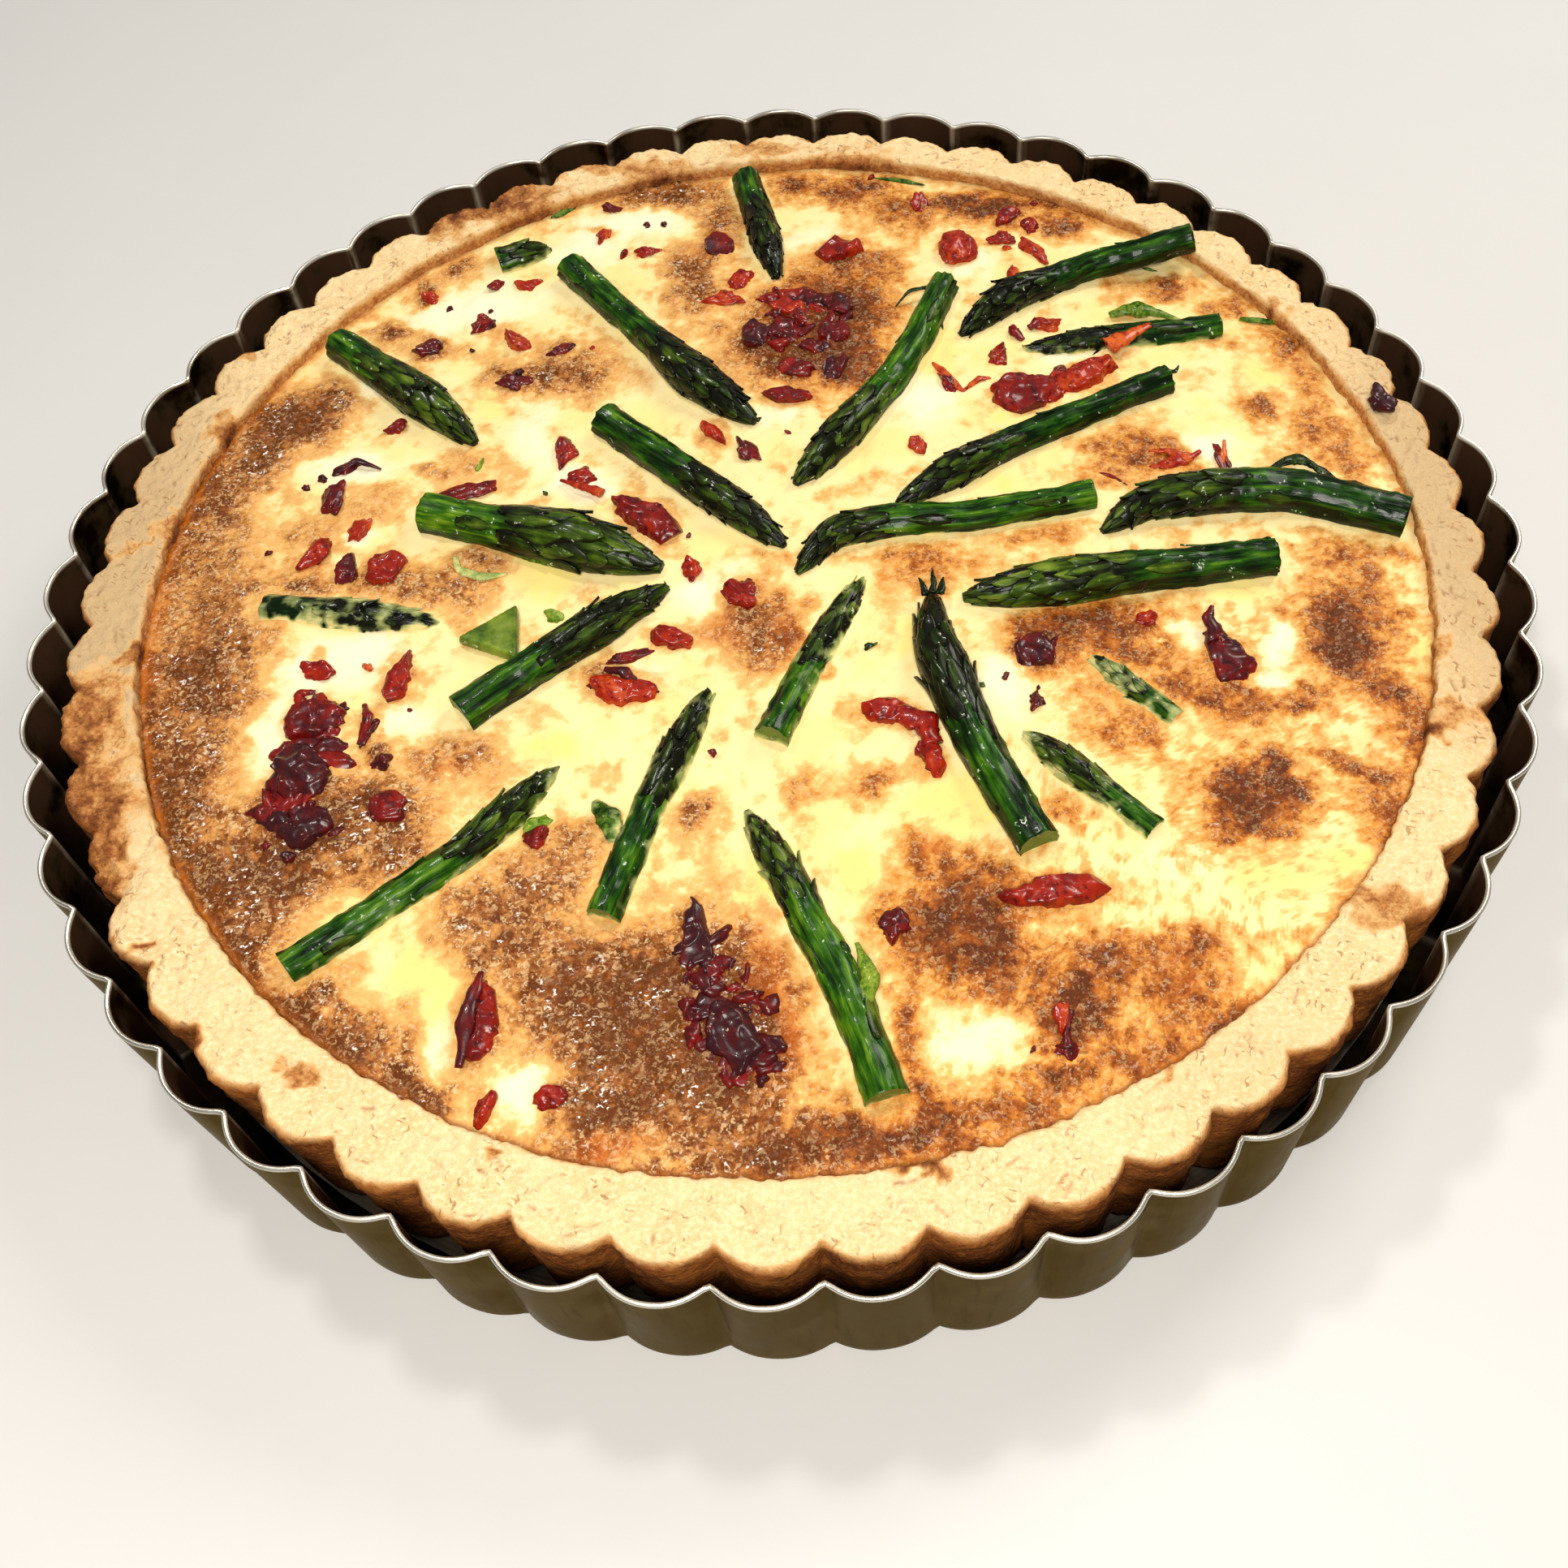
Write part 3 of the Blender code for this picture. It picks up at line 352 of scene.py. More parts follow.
# Browned and stained places on the crust: x, y, half-width, half-depth, strength
CRUST_BROWNED = [
    (-61, 117, 15, 11, 0.75), (-72, 110, 8, 7, 0.5), (-40, 126, 16, 5, 0.35), (-24, 122, 9, 5, 0.4),
    (2, 127, 12, 4, 0.3), (22, 122, 12, 4, 0.3), (-126, -28, 8, 16, 0.62), (-121, -48, 9, 15, 0.66),
    (-116, -60, 5, 7, 0.6), (-104, 98, 4, 3, 0.3), (-111, 69, 3, 2.5, 0.45), (-113, 47, 3, 6, 0.5),
    (-118, 21, 4, 4, 0.45), (-125, 16, 4, 2, 0.35), (-121, -10, 2.5, 3, 0.5), (-96, -90, 2, 3, 0.55),
    (-78, -97, 3, 2.5, 0.5), (-107, -73, 3, 1.6, 0.8), (17, -119.5, 5, 2.5, 0.75), (-46, -113, 3, 1.5, 0.5),
    (118, -30, 5, 3, 0.3), (117, -46, 6, 3, 0.4), (112, -48, 3, 2, 0.55), (97, -82, 6, 5, 0.4),
    (93, -79, 4, 3, 0.4), (-66, -118, 3, 1.5, 0.3), (56, -108, 3, 1.5, 0.3), (108, 60, 3, 3, 0.35),
]
# Painted shade: places on the crust painted a darker, greyer tan all over, same columns
CRUST_PAINTED_SHADE = [(-128, 5, 26, 95, 0.95), (130, 0, 20, 80, 0.85), (70, -108, 20, 14, 0.2)]
PIT_COUNT = 420
PIT_SEED = 11

# Camera, calibrated on the photograph's rim
CAMERA_PLACE = (12.26, -199.62, 258.03)
CAMERA_PITCH = math.radians(33.005)
CAMERA_ROLL = math.radians(-4.126)
CAMERA_LENS = 36.4
CAMERA_SENSOR = 36.0
CAMERA_SHIFT = -0.046
CAMERA_NEAR = 0.01

# Lights: name, place in metres, size, power in watts, colour
LIGHTS = [
    ("window", (-0.28, 0.42, 0.95), (0.14, 0.1), 3.0, (1.0, 0.97, 0.93)),
    ("front_key", (0.0, -0.34, 0.46), (0.2, 0.14), 2.45, (1.0, 0.95, 0.88)),
    ("back_right", (0.5, 0.45, 0.6), (0.3, 0.3), 3.2, (1.0, 0.96, 0.9)),
]
WORLD_COLOUR = (1.0, 0.97, 0.93, 1.0)
WORLD_STRENGTH = 0.22
FLOOR_REACH = 4
FLOOR_DROP = 0.1
FLOOR_TONES = ((0.70, 0.69, 0.67, 1.0), (0.74, 0.73, 0.71, 1.0))


def sample(field, x, y, z):
    """The values of a noise function at every point."""
    x, y, z = np.broadcast_arrays(x, y, z)
    rows = np.stack([x, y, z], -1).reshape(-1, 3).tolist()
    return np.array([field(row) for row in rows]).reshape(x.shape)


def wave(x, y, z=0.0):
    return sample(noise.noise, x, y, z)


def cloud(x, y, z=0.0, octaves=3):
    return sample(lambda row: noise.fractal(row, 1.0, 2.0, octaves), x, y, z)


def smooth(value, low, high):
    """From 0 at low to 1 at high, eased at both ends."""
    share = np.clip((value - low) / (high - low), 0, 1)
    return share * share * (3 - 2 * share)


def fluted(angle, crest, depth):
    """Radius by angle: broad rounded crests outwards, narrow cusps inwards."""
    turn = (angle - CUSP_ANGLE) * FLUTES / (2 * math.pi)
    nearness = np.abs(turn % 1.0 - 0.5) * 2
    return crest - depth * nearness**CUSP_SHARPNESS


def crust_inner(angle, inset=0.0):
    shift = CRUST_INNER_SHIFT[0] * np.cos(angle) + CRUST_INNER_SHIFT[1] * np.sin(angle)
    uneven = CRUST_UNEVENNESS * wave(5 * np.cos(angle), 5 * np.sin(angle))
    return CRUST_INNER_RADIUS + shift + uneven - inset


def angle_between(angle, other):
    return (angle - other + math.pi) % (2 * math.pi) - math.pi


def chip(angle):
    """1 in the middle of the break in the crust's outer edge, 0 away from it."""
    away = angle_between(angle, CHIP_ANGLE) / CHIP_SPREAD
    return np.exp(-away * away)


def crust_top(angle):
    uneven = wave(9 * np.cos(angle), 9 * np.sin(angle), 4.0)
    return CRUST_TOP + CRUST_TOP_UNEVENNESS * uneven


def on_filling(x, y, lift):
    """The place at this height over the baked surface."""
    return np.array([x, y, float(filling_height(x, y)) + lift])


def filling_height(x, y):
    """Height of the baked surface: a shallow dome with soft hills."""
    share = np.minimum(1.0, np.hypot(x, y) / CRUST_INNER_RADIUS)
    u = x / RELIEF_SIZE
    v = y / RELIEF_SIZE
    hills = wave(u, v, 7.0) + 0.5 * wave(2 * u, 2 * v)
    return FILLING_EDGE + FILLING_DOME * (1 - share**2) + FILLING_RELIEF * hills * (1 - share**8)


class Shape:
    """Points in millimetres, faces and named values, gathered into one mesh."""

    def __init__(self):
        self.points = []
        self.faces = []
        self.values = {}
        self.count = 0

    def add(self, points, faces, **values):
        self.points.append(points)
        self.faces += [[index + self.count for index in face] for face in faces]
        self.count += len(points)
        for key, numbers in values.items():
            width = np.shape(numbers)[1:]
            full = np.broadcast_to(numbers, (len(points), *width))
            self.values.setdefault(key, []).append(full)

    def piece(self, name, material, slot, *replaced):
        """The finished piece, riding on the part's one body."""
        mesh = bpy.data.meshes.new(name)
        points = np.concatenate(self.points) * MM
        mesh.from_pydata(points.tolist(), [], self.faces)
        for key, parts in self.values.items():
            numbers = np.concatenate(parts).astype(np.float32)
            vector = numbers.ndim == 2
            field = mesh.attributes.new(key, "FLOAT_VECTOR" if vector else "FLOAT", "POINT")
            field.data.foreach_set("vector" if vector else "value", numbers.ravel())
        bm = bmesh.new()
        bm.from_mesh(mesh)
        bmesh.ops.recalc_face_normals(bm, faces=bm.faces)
        bm.to_mesh(mesh)
        bm.free()
        mesh.shade_smooth()
        mesh.materials.append(material)
        obj = bpy.data.objects.new(name, mesh)
        bpy.context.scene.collection.objects.link(obj)
        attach(obj, "root")
        if replaced:
            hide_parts(*replaced)
        return obj


def grid_faces(rows, columns, round_rows=False, round_columns=False):
    index = np.arange(rows * columns).reshape(rows, columns)
    if round_rows:
        index = np.concatenate([index, index[:1]])
    if round_columns:
        index = np.concatenate([index, index[:, :1]], 1)
    corners = (index[:-1, :-1], index[:-1, 1:], index[1:, 1:], index[1:, :-1])
    return np.stack(corners, -1).reshape(-1, 4).tolist()


def loft_faces(rows, columns):
    """Faces of a loft, its ends filled from the two points that follow its rings."""
    faces = grid_faces(rows, columns, round_columns=True)
    count = rows * columns
    last = count - columns
    for near in range(columns):
        far = (near + 1) % columns
        faces.append([count, far, near])
        faces.append([count + 1, last + near, last + far])
    return faces


def tube(rings):
    """Points and faces of a loft through rings, its ends filled from their middles."""
    points = np.concatenate([rings.reshape(-1, 3), [rings[0].mean(0), rings[-1].mean(0)]])
    return points, loft_faces(*rings.shape[:2])


def laid(x, y, z):
    """Places over a loft's skin for its rings, then for the two points that fill its ends."""
    lay = np.stack(np.broadcast_arrays(x, y, z), -1)
    return np.concatenate([lay.reshape(-1, 3), [lay[0, 0], lay[-1, 0]]])


def directions(path):
    """Unit directions ahead, across and up along a path."""
    ahead = np.gradient(path, axis=0)
    ahead /= np.linalg.norm(ahead, axis=1)[:, None]
    across = np.cross(ahead, (0, 0, 1))
    across /= np.linalg.norm(across, axis=1)[:, None]
    return ahead, across, np.cross(across, ahead)


def ring(radius, angle, height):
    return np.stack(np.broadcast_arrays(radius * np.cos(angle), radius * np.sin(angle), height), -1)


class Value:
    """A value in a material; the usual signs make the nodes that add, subtract and multiply."""

    def __init__(self, socket):
        self.socket = socket

    def __add__(self, other):
        return calc("ADD", self, other)

    def __sub__(self, other):
        return calc("SUBTRACT", self, other)

    def __rsub__(self, other):
        return calc("SUBTRACT", other, self)

    def __mul__(self, other):
        return calc("MULTIPLY", self, other)


def fill_inputs(made, inputs):
    """Gives a node its inputs: i and a number count them, in other names _ stands for a space."""
    for key, value in inputs.items():
        socket = made.inputs[int(key[1:]) if key[1:].isdigit() else key.replace("_", " ")]
        if isinstance(value, Value):
            made.id_data.links.new(value.socket, socket)
        else:
            socket.default_value = value


def node(kind, settings=None, output=0, tree=None, **inputs):
    """An output of a new shader node, in the tree that its inputs come from."""
    if tree is None:
        tree = next(value.socket.id_data for value in inputs.values() if isinstance(value, Value))
    made = tree.nodes.new("ShaderNode" + kind)
    for key, value in (settings or {}).items():
        setattr(made, key, value)
    fill_inputs(made, inputs)
    return Value(made.outputs[output])


def calc(operation, a, b):
    return node("Math", {"operation": operation}, i0=a, i1=b)


def vector(operation, place, other):
    return node("VectorMath", {"operation": operation}, i0=place, i1=other)


def scaled(place, factor):
    return node("VectorMath", {"operation": "SCALE"}, Vector=place, Scale=factor)


def stretched(place, x, y, z):
    return vector("MULTIPLY", place, (x, y, z))


def highest(first, *others):
    for other in others:
        first = calc("MAXIMUM", first, other)
    return first


def between(value, low, high, start=0.0, end=1.0):
    """Maps low..high to start..end, eased and clamped."""
    eased = {"interpolation_type": "SMOOTHSTEP"}
    return node("MapRange", eased, "Result", i0=value, i1=low, i2=high, i3=start, i4=end)


def speckle(place, size, detail=3.0, roughness=0.55, distortion=0.0):
    """Noise with features of this size in millimetres, about 0.5 in the mean."""
    inputs = {"Scale": 1 / size, "Detail": detail, "Roughness": roughness, "Distortion": distortion}
    return node("TexNoise", output="Fac", Vector=place, **inputs)


def wandering(place, size, reach):
    """The same place, shifted by noise of this size by up to this many millimetres."""
    cloudy = node("TexNoise", output="Color", Vector=place, Scale=1 / size, Detail=2.0)
    return vector("ADD", place, scaled(vector("SUBTRACT", cloudy, (0.5, 0.5, 0.5)), 4 * reach))


def strokes(place, turn, size, low, high, along=0.62, across=1.25):
    """Short strokes lying at this angle, about this many millimetres apart: 1 on them, 0 between."""
    turned = node("VectorRotate", {"rotation_type": "Z_AXIS"}, Vector=place, Angle=turn)
    spread = stretched(turned, along, across, 1.0)
    cells = node("TexVoronoi", output="Distance", Vector=spread, Scale=1 / size)
    return between(cells, low, high, 1.0, 0.0)


def seen(shade):
    """The shader's linear colour for one as seen, 0 to 255; values and linear colours stay."""
    if isinstance(shade, Value) or len(shade) == 4:
        return shade
    parts = [part / 255 for part in shade]
    return (*(part / 12.92 if part <= 0.04045 else ((part + 0.055) / 1.055) ** 2.4 for part in parts), 1.0)


def mix(factor, a, b):
    return node("Mix", {"data_type": "RGBA"}, 2, i0=factor, i6=seen(a), i7=seen(b))


def ramp(value, *stops):
    """Colours along a value: each stop is a position and a colour as seen."""
    made = node("ValToRGB", Fac=value).socket.node
    elements = made.color_ramp.elements
    while len(elements) < len(stops):
        elements.new(0.5)
    for element, (position, *shade) in zip(elements, stops):
        element.position = position
        element.color = seen(shade)
    return Value(made.outputs["Color"])


def bump(height, distance, strength=1.0, **below):
    """A bump of this depth in millimetres, over another where Normal is given."""
    return node("Bump", Height=height, Distance=distance * MM, Strength=strength, **below)


class Finish:
    """A new material, with the values that its pieces carry."""

    def __init__(self, name):
        self.material = bpy.data.materials.new(name)
        self.material.use_nodes = True
        self.tree = self.material.node_tree

    def carried(self, name, output="Fac"):
        return node("Attribute", {"attribute_name": name}, output, self.tree)

    def place(self):
        """The place on the piece in millimetres."""
        return scaled(node("TexCoord", None, "Object", self.tree), 1 / MM)

    def done(self, **inputs):
        fill_inputs(self.tree.nodes["Principled BSDF"], inputs)
        return self.material


def tin_material():
    tin = Finish("old tinned steel")
    inside = tin.carried("inside")
    streaks = speckle(stretched(tin.carried("lay", "Vector"), 1.0, 0.1, 1.0), 1.5)
    smudges = speckle(tin.place(), 13.0, 4.0, 0.6)
    metal = mix(between(smudges, 0.35, 0.68), (70, 59, 36), (102, 88, 62))
    metal = mix(between(streaks, 0.48, 0.75, 0.0, 0.4), metal, (34, 28, 14))
    grease = between(smudges * inside, 0.34, 0.56)
    metal = mix(grease * 0.85, metal, (60, 34, 22))
    # painted reflection: the inside cusps are painted a pale metal, standing in for the gleams seen on them
    painted_cusp_gleam = tin.carried("cusp") * inside * between(streaks, 0.3, 0.6)
    metal = mix(painted_cusp_gleam, metal, (176, 166, 140))
    # the raw edge is painted a pale silver: partly rubbed bare metal, partly a painted highlight along the
    # rim
    metal = mix(tin.carried("edge"), metal, (226, 222, 210))
    return tin.done(
        Base_Color=metal,
        Metallic=1.0 - grease * 0.7,
        Roughness=between(smudges, 0.3, 0.75, 0.3, 0.5) + grease * 0.2,
        Specular_IOR_Level=0.2,
        Specular_Tint=(0.62, 0.55, 0.44, 1.0),
        Normal=bump(streaks, 0.06, 0.5),
    )


def base_material():
    steel = Finish("tin base steel")
    place = steel.place()
    smudges = speckle(place, 22.0, 5.0, 0.6)
    stains = speckle(place, 6.0, 5.0, 0.7, 0.6)
    rings = node("TexWave", {"wave_type": "RINGS", "rings_direction": "Z"}, "Fac", Vector=place, Scale=0.35)
    metal = mix(between(smudges, 0.3, 0.7), (120, 114, 98), (178, 172, 155))
    metal = mix(between(stains, 0.56, 0.72, 0.0, 0.7), metal, (70, 52, 30))
    rough = between(smudges, 0.3, 0.7, 0.3, 0.5)
    return steel.done(Base_Color=metal, Metallic=0.95, Roughness=rough, Normal=bump(rings, 0.03, 0.4))


def crust_material():
    pastry = Finish("shortcrust pastry")
    place = pastry.place()
    baked = pastry.carried("baked")
    tone = speckle(place, 8.0, 3.0, 0.6)
    crumbly = speckle(place, 0.8, 3.0, 0.65)
    top = mix(between(tone, 0.35, 0.68), (240, 208, 154), (232, 194, 136))
    top = mix(between(crumbly, 0.4, 0.66), top, (247, 222, 172))
    toast = baked + (crumbly - 0.5) * between(baked, 0.04, 0.4, 0.0, 0.9)
    toasted = ramp(
        toast,
        (0.0, 238, 202, 146),
        (0.22, 220, 170, 106),
        (0.45, 188, 126, 66),
        (0.7, 140, 80, 36),
        (1.0, 78, 36, 16),
    )
    # painted shade: a darker, greyer tan where the crust's dull value is set
    top = mix(pastry.carried("dull") * 0.85, top, (196, 164, 120))
    top = mix(between(toast, 0.03, 0.2), top, toasted)
    bent = wandering(place, 1.6, 0.5)
    ticks = strokes(bent, 0.5, 2.2, 0.15, 0.21, 0.5, 2.0)
    ticks = highest(ticks, strokes(bent, 1.9, 2.6, 0.14, 0.2, 0.45, 2.2))
    ticks = ticks * between(tone, 0.38, 0.6, 0.1, 1.0)
    top = mix(ticks * 0.62, top, (150, 92, 48))
    wall = mix(between(tone, 0.35, 0.65), (168, 98, 38), (116, 58, 18))
    wall = mix(between(crumbly, 0.45, 0.7, 0.0, 0.5), wall, (190, 126, 58))
    base = mix(pastry.carried("side"), top, wall)
    # painted shade: the pits are painted a darker brown at their deepest
    base = mix(pastry.carried("pits") * 0.72, base, (134, 78, 40))
    normal = bump(speckle(place, 2.2, 3.0, 0.6), 0.9, 0.6)
    normal = bump(crumbly, 0.35, 0.8, Normal=normal)
    return pastry.done(Base_Color=base, Roughness=0.8, Normal=normal, Specular_IOR_Level=0.25)


def filling_material():
    custard = Finish("baked custard")
    place = custard.place()
    brown = custard.carried("brown")
    # oily: the glossier left side, where the painted glints also go
    oily = custard.carried("oily")
    grain = speckle(place, 1.1, 3.0, 0.62, 0.5)
    blister = speckle(place, 2.8, 3.0, 0.6)
    patch = speckle(place, 8.0, 2.0, 0.5)
    cream = mix(custard.carried("yellow"), (253, 232, 168), (251, 228, 134))
    cream = mix(custard.carried("white"), cream, (252, 244, 208))
    uneven = grain * 0.75 + blister * 1.05
    toast = brown + (uneven - 0.9) * between(brown, 0.02, 0.55, 0.16, 1.05)
    toasted = ramp(
        toast,
        (0.05, 250, 220, 146),
        (0.2, 240, 190, 112),
        (0.38, 220, 146, 58),
        (0.58, 184, 102, 26),
        (0.8, 140, 66, 8),
        (1.05, 90, 38, 3),
    )
    base = mix(between(toast, 0.0, 0.22), cream, toasted)
    sandy = mix(between(toast, 0.3, 0.9), (224, 174, 106), (112, 64, 22))
    base = mix(oily * 0.42 * between(toast, 0.08, 0.3), base, sandy)
    bent = wandering(place, 1.1, 0.75)
    dark = highest(*(strokes(bent, turn, size, 0.1, 0.36) for turn, size in ((0.7, 1.7), (1.9, 2.1))))
    soot = mix(oily * patch, (118, 50, 8), (62, 34, 20))
    base = mix(dark * between(brown, 0.3, 0.65, 0.0, 0.8), base, soot)
    streaks = ((0.2, 1.3), (1.3, 1.0), (2.4, 1.6))
    pale = highest(*(strokes(bent, turn, size, 0.14, 0.4) for turn, size in streaks))
    pale = pale * between(blister, 0.36, 0.54, 0.1, 1.0) * between(brown, 0.15, 0.5, 0.0, 0.8)
    pale = pale * between(brown, 0.7, 1.0, 1.0, 0.65) * between(oily, 0.0, 1.0, 0.55, 1.0)
    base = mix(pale, base, mix(brown, (252, 222, 164), (214, 172, 120)))
    # painted highlight: small near-white glints in the browned patches
    painted_glint = strokes(bent, 2.9, 1.6, 0.12, 0.28) * between(brown, 0.55, 0.8)
    base = mix(painted_glint * between(patch, 0.43, 0.53) * oily, base, (255, 248, 238))
    base = mix(custard.carried("orange") * 0.6, base, (196, 96, 20))
    base = mix(custard.carried("caramel"), base, (180, 98, 22))
    normal = bump(uneven * between(brown, 0.05, 0.6, 0.2, 1.0), 0.6, 0.8)
    rough = between(brown * oily, 0.0, 0.6, 0.5, 0.2)
    return custard.done(Base_Color=base, Roughness=rough, Normal=normal, Specular_IOR_Level=0.16)


def asparagus_material():
    green = Finish("roast asparagus")
    lay = green.carried("lay", "Vector")
    streaks = speckle(stretched(lay, 1.0, 1.0, 0.08), 0.8, 3.0, 0.6)
    mottle = speckle(stretched(lay, 1.0, 1.0, 0.4), 2.6, 3.0, 0.6)
    tone = (green.carried("tone") - 0.5) * 0.24
    # flank darkens the colour: painted shade on the lower sides, in the grooves and under the scales, with
    # real scorching
    lit = streaks * 0.55 + mottle * 0.45 + tone - green.carried("flank") * 0.15
    stem = ramp(
        lit,
        (0.32, 6, 24, 2),
        (0.42, 20, 58, 3),
        (0.52, 50, 96, 6),
        (0.64, 104, 142, 22),
        (0.82, 172, 190, 70),
    )
    head = ramp(lit, (0.32, 12, 14, 2), (0.43, 30, 44, 5), (0.54, 62, 86, 14), (0.72, 128, 146, 44))
    base = mix(green.carried("leaf"), stem, head)
    base = mix(green.carried("cut"), base, mix(streaks, (60, 82, 18), (118, 140, 52)))
    film = green.carried("veil") + mottle * 0.9
    cloudy = mix(between(film, 1.1, 1.5), (186, 198, 122), (252, 232, 160))
    base = mix(between(film, 0.7, 1.5, 0.0, 0.97), base, cloudy)
    # painted highlight: small near-white wet glints on the spears
    painted_glint = strokes(wandering(green.place(), 1.2, 0.7), 0.9, 2.0, 0.06, 0.2)
    base = mix(painted_glint * between(mottle, 0.48, 0.58, 0.0, 0.85), base, (222, 232, 206))
    return green.done(
        Base_Color=base,
        Roughness=between(mottle, 0.3, 0.7, 0.2, 0.42),
        Specular_IOR_Level=0.15,
        Coat_Weight=0.12,
        Coat_Roughness=0.04,
        Normal=bump(mottle, 0.4, 0.4, Normal=bump(streaks, 0.3, 0.6)),
    )


def bacon_material():
    fried = Finish("fried bacon")
    place = fried.place()
    fibres = speckle(stretched(place, 1.0, 0.6, 1.0), 3.4, 3.0, 0.55, 0.8)
    char = speckle(place, 1.3, 3.0, 0.65)
    tone = fried.carried("tone") + (fibres - 0.5) * 1.1 - between(char, 0.54, 0.68, 0.0, 0.35)
    base = ramp(
        tone,
        (0.0, 52, 13, 19),
        (0.25, 88, 13, 14),
        (0.5, 126, 16, 8),
        (0.75, 168, 38, 8),
        (1.0, 212, 98, 34),
    )
    # painted highlight: small near-white glints on the fried bacon
    painted_glint = strokes(wandering(place, 1.0, 0.6), 1.0, 1.7, 0.08, 0.22)
    base = mix(painted_glint * between(char, 0.5, 0.6, 0.0, 0.7), base, (236, 196, 176))
    return fried.done(
        Base_Color=base,
        Roughness=0.32,
        Specular_IOR_Level=0.25,
        Coat_Weight=0.2,
        Coat_Roughness=0.05,
        Normal=bump(char, 0.1, 0.4, Normal=bump(fibres, 0.25, 0.5)),
    )


def add_tin(material):
    """The fluted ring: its wall, raw upper edge, rounded foot and flat inward lip."""
    angle = np.linspace(0, 2 * math.pi, TIN_COLUMNS, endpoint=False)
    step = angle[1] - angle[0]
    rows = []
    values = []

    def add_row(radius, height, inside, edge):
        rows.append(ring(radius, angle, height))
        values.append(np.tile((inside, edge, height), (TIN_COLUMNS, 1)))

    def add_wall(height, inset, inside, edge):
        share = height / TIN_HEIGHT
        crest = TIN_FOOT_CREST + (TIN_RIM_CREST - TIN_FOOT_CREST) * share
        depth = TIN_FOOT_DEPTH + (TIN_RIM_DEPTH - TIN_FOOT_DEPTH) * share
        outer = fluted(angle, crest, depth)
        slope = (np.roll(outer, -1) - np.roll(outer, 1)) / (2 * step * outer)
        foot = max(0.0, 1 - height / TIN_FOOT_ROUND)
        radius = outer - inset * np.sqrt(1 + slope**2) - TIN_FOOT_INSET * TIN_FOOT_ROUND * foot**2
        add_row(radius, height, inside, edge)

    bevel = TIN_HEIGHT - TIN_BEVEL
    for height in (*TIN_FOOT_LEVELS, *TIN_WALL_LEVELS, bevel):
        add_wall(height, 0.0, 0.0, float(height == bevel))
    add_wall(TIN_HEIGHT, TIN_BEVEL, 0.0, 1.0)
    add_wall(TIN_HEIGHT, TIN_SHEET - TIN_BEVEL, 0.0, 1.0)
    for height in (bevel, *TIN_WALL_LEVELS[::-1], TIN_LIP_LEVEL, TIN_SHEET):
        add_wall(height, TIN_SHEET, 1.0, TIN_INNER_EDGE * (height == bevel))
    for height in (TIN_SHEET, 0.0):
        add_row(LIP_INNER_RADIUS, height, 0.5, 0.0)
    inside, edge, level = np.concatenate(values).T
    around = np.tile(angle * TIN_RIM_CREST, len(rows))
    inward = TIN_RIM_CREST - fluted(angle, TIN_RIM_CREST, TIN_RIM_DEPTH)
    cusp = np.tile(smooth(inward, TIN_CUSP_START, TIN_RIM_DEPTH), len(rows))
    shape = Shape()
    shape.add(
        np.concatenate(rows),
        grid_faces(len(rows), TIN_COLUMNS, round_rows=True, round_columns=True),
        lay=np.stack([around, level, np.zeros(len(level))], -1),
        cusp=cusp,
        inside=inside,
        edge=edge,
    )
    shape.piece("tin_ring", material, "tin", "tart_tin")


def crust_profile(angle):
    """Rows of radius, height, outward direction (radial, up) and side value, from foot to floor."""
    top = crust_top(angle)
    broken = chip(angle)
    rows = []
    for share in np.linspace(0, 1, 17):
        high = top - CRUST_ROUND - CHIP_DROP * broken
        height = CRUST_BOTTOM + share * (high - CRUST_BOTTOM)
        crest = CRUST_FOOT_CREST + share * (CRUST_CREST - CRUST_FOOT_CREST)
        rows.append((fluted(angle, crest, CRUST_DEPTH) - CHIP_INWARD * broken * share, height, 1.0, 0.0, 1.0))
    outer = fluted(angle, CRUST_CREST, CRUST_DEPTH) - CHIP_INWARD * broken
    for turn in np.linspace(0, math.pi / 2, 7)[1:]:
        radius = outer - CRUST_ROUND * (1 - math.cos(turn))
        height = top - CRUST_ROUND * (1 - math.sin(turn)) - CHIP_DROP * broken
        rows.append((radius, height, math.cos(turn), math.sin(turn), max(0.0, math.cos(turn * 1.25)) ** 1.5))
    inner = crust_inner(angle)
    start = outer - CRUST_ROUND
    end = inner + CRUST_INNER_ROUND
    for share in np.linspace(0, 1, 23)[1:]:
        sag = CHIP_DROP * broken * max(0.0, 1 - share * 1.6)
        rows.append((start + share * (end - start), top - sag, 0.0, 1.0, 0.0))
    for turn in np.linspace(0, math.pi / 2, 4)[1:]:
        radius = inner + CRUST_INNER_ROUND * (1 - math.sin(turn))
        height = top - CRUST_INNER_ROUND * (1 - math.cos(turn))
        rows.append((radius, height, -math.sin(turn), math.cos(turn), 0.0))
    for drop in (1.3, 1.9, 2.5, 3.1, 3.7, 4.5, 6.0):
        rows.append((inner - 0.02 * drop, top - drop, -1.0, 0.0, 0.0))
    rows.append((inner - CRUST_WALL_DRAFT, np.full_like(angle, CRUST_FLOOR), 0.0, 0.0, 0.0))
    return rows


def layered(x, y, rows, growth=1.0, share=1.0):
    """Soft-edged spots laid over each other, from 0 to 1."""
    clear = np.ones_like(x)
    for centre_x, centre_y, half_x, half_y, strength in rows:
        wide = half_x * growth + 2 * (growth - 1)
        deep = half_y * growth + 2 * (growth - 1)
        reach = np.hypot((x - centre_x) / wide, (y - centre_y) / deep)
        clear *= 1 - strength * share * (1 - smooth(reach, 0.25, 1.25))
    return 1 - clear


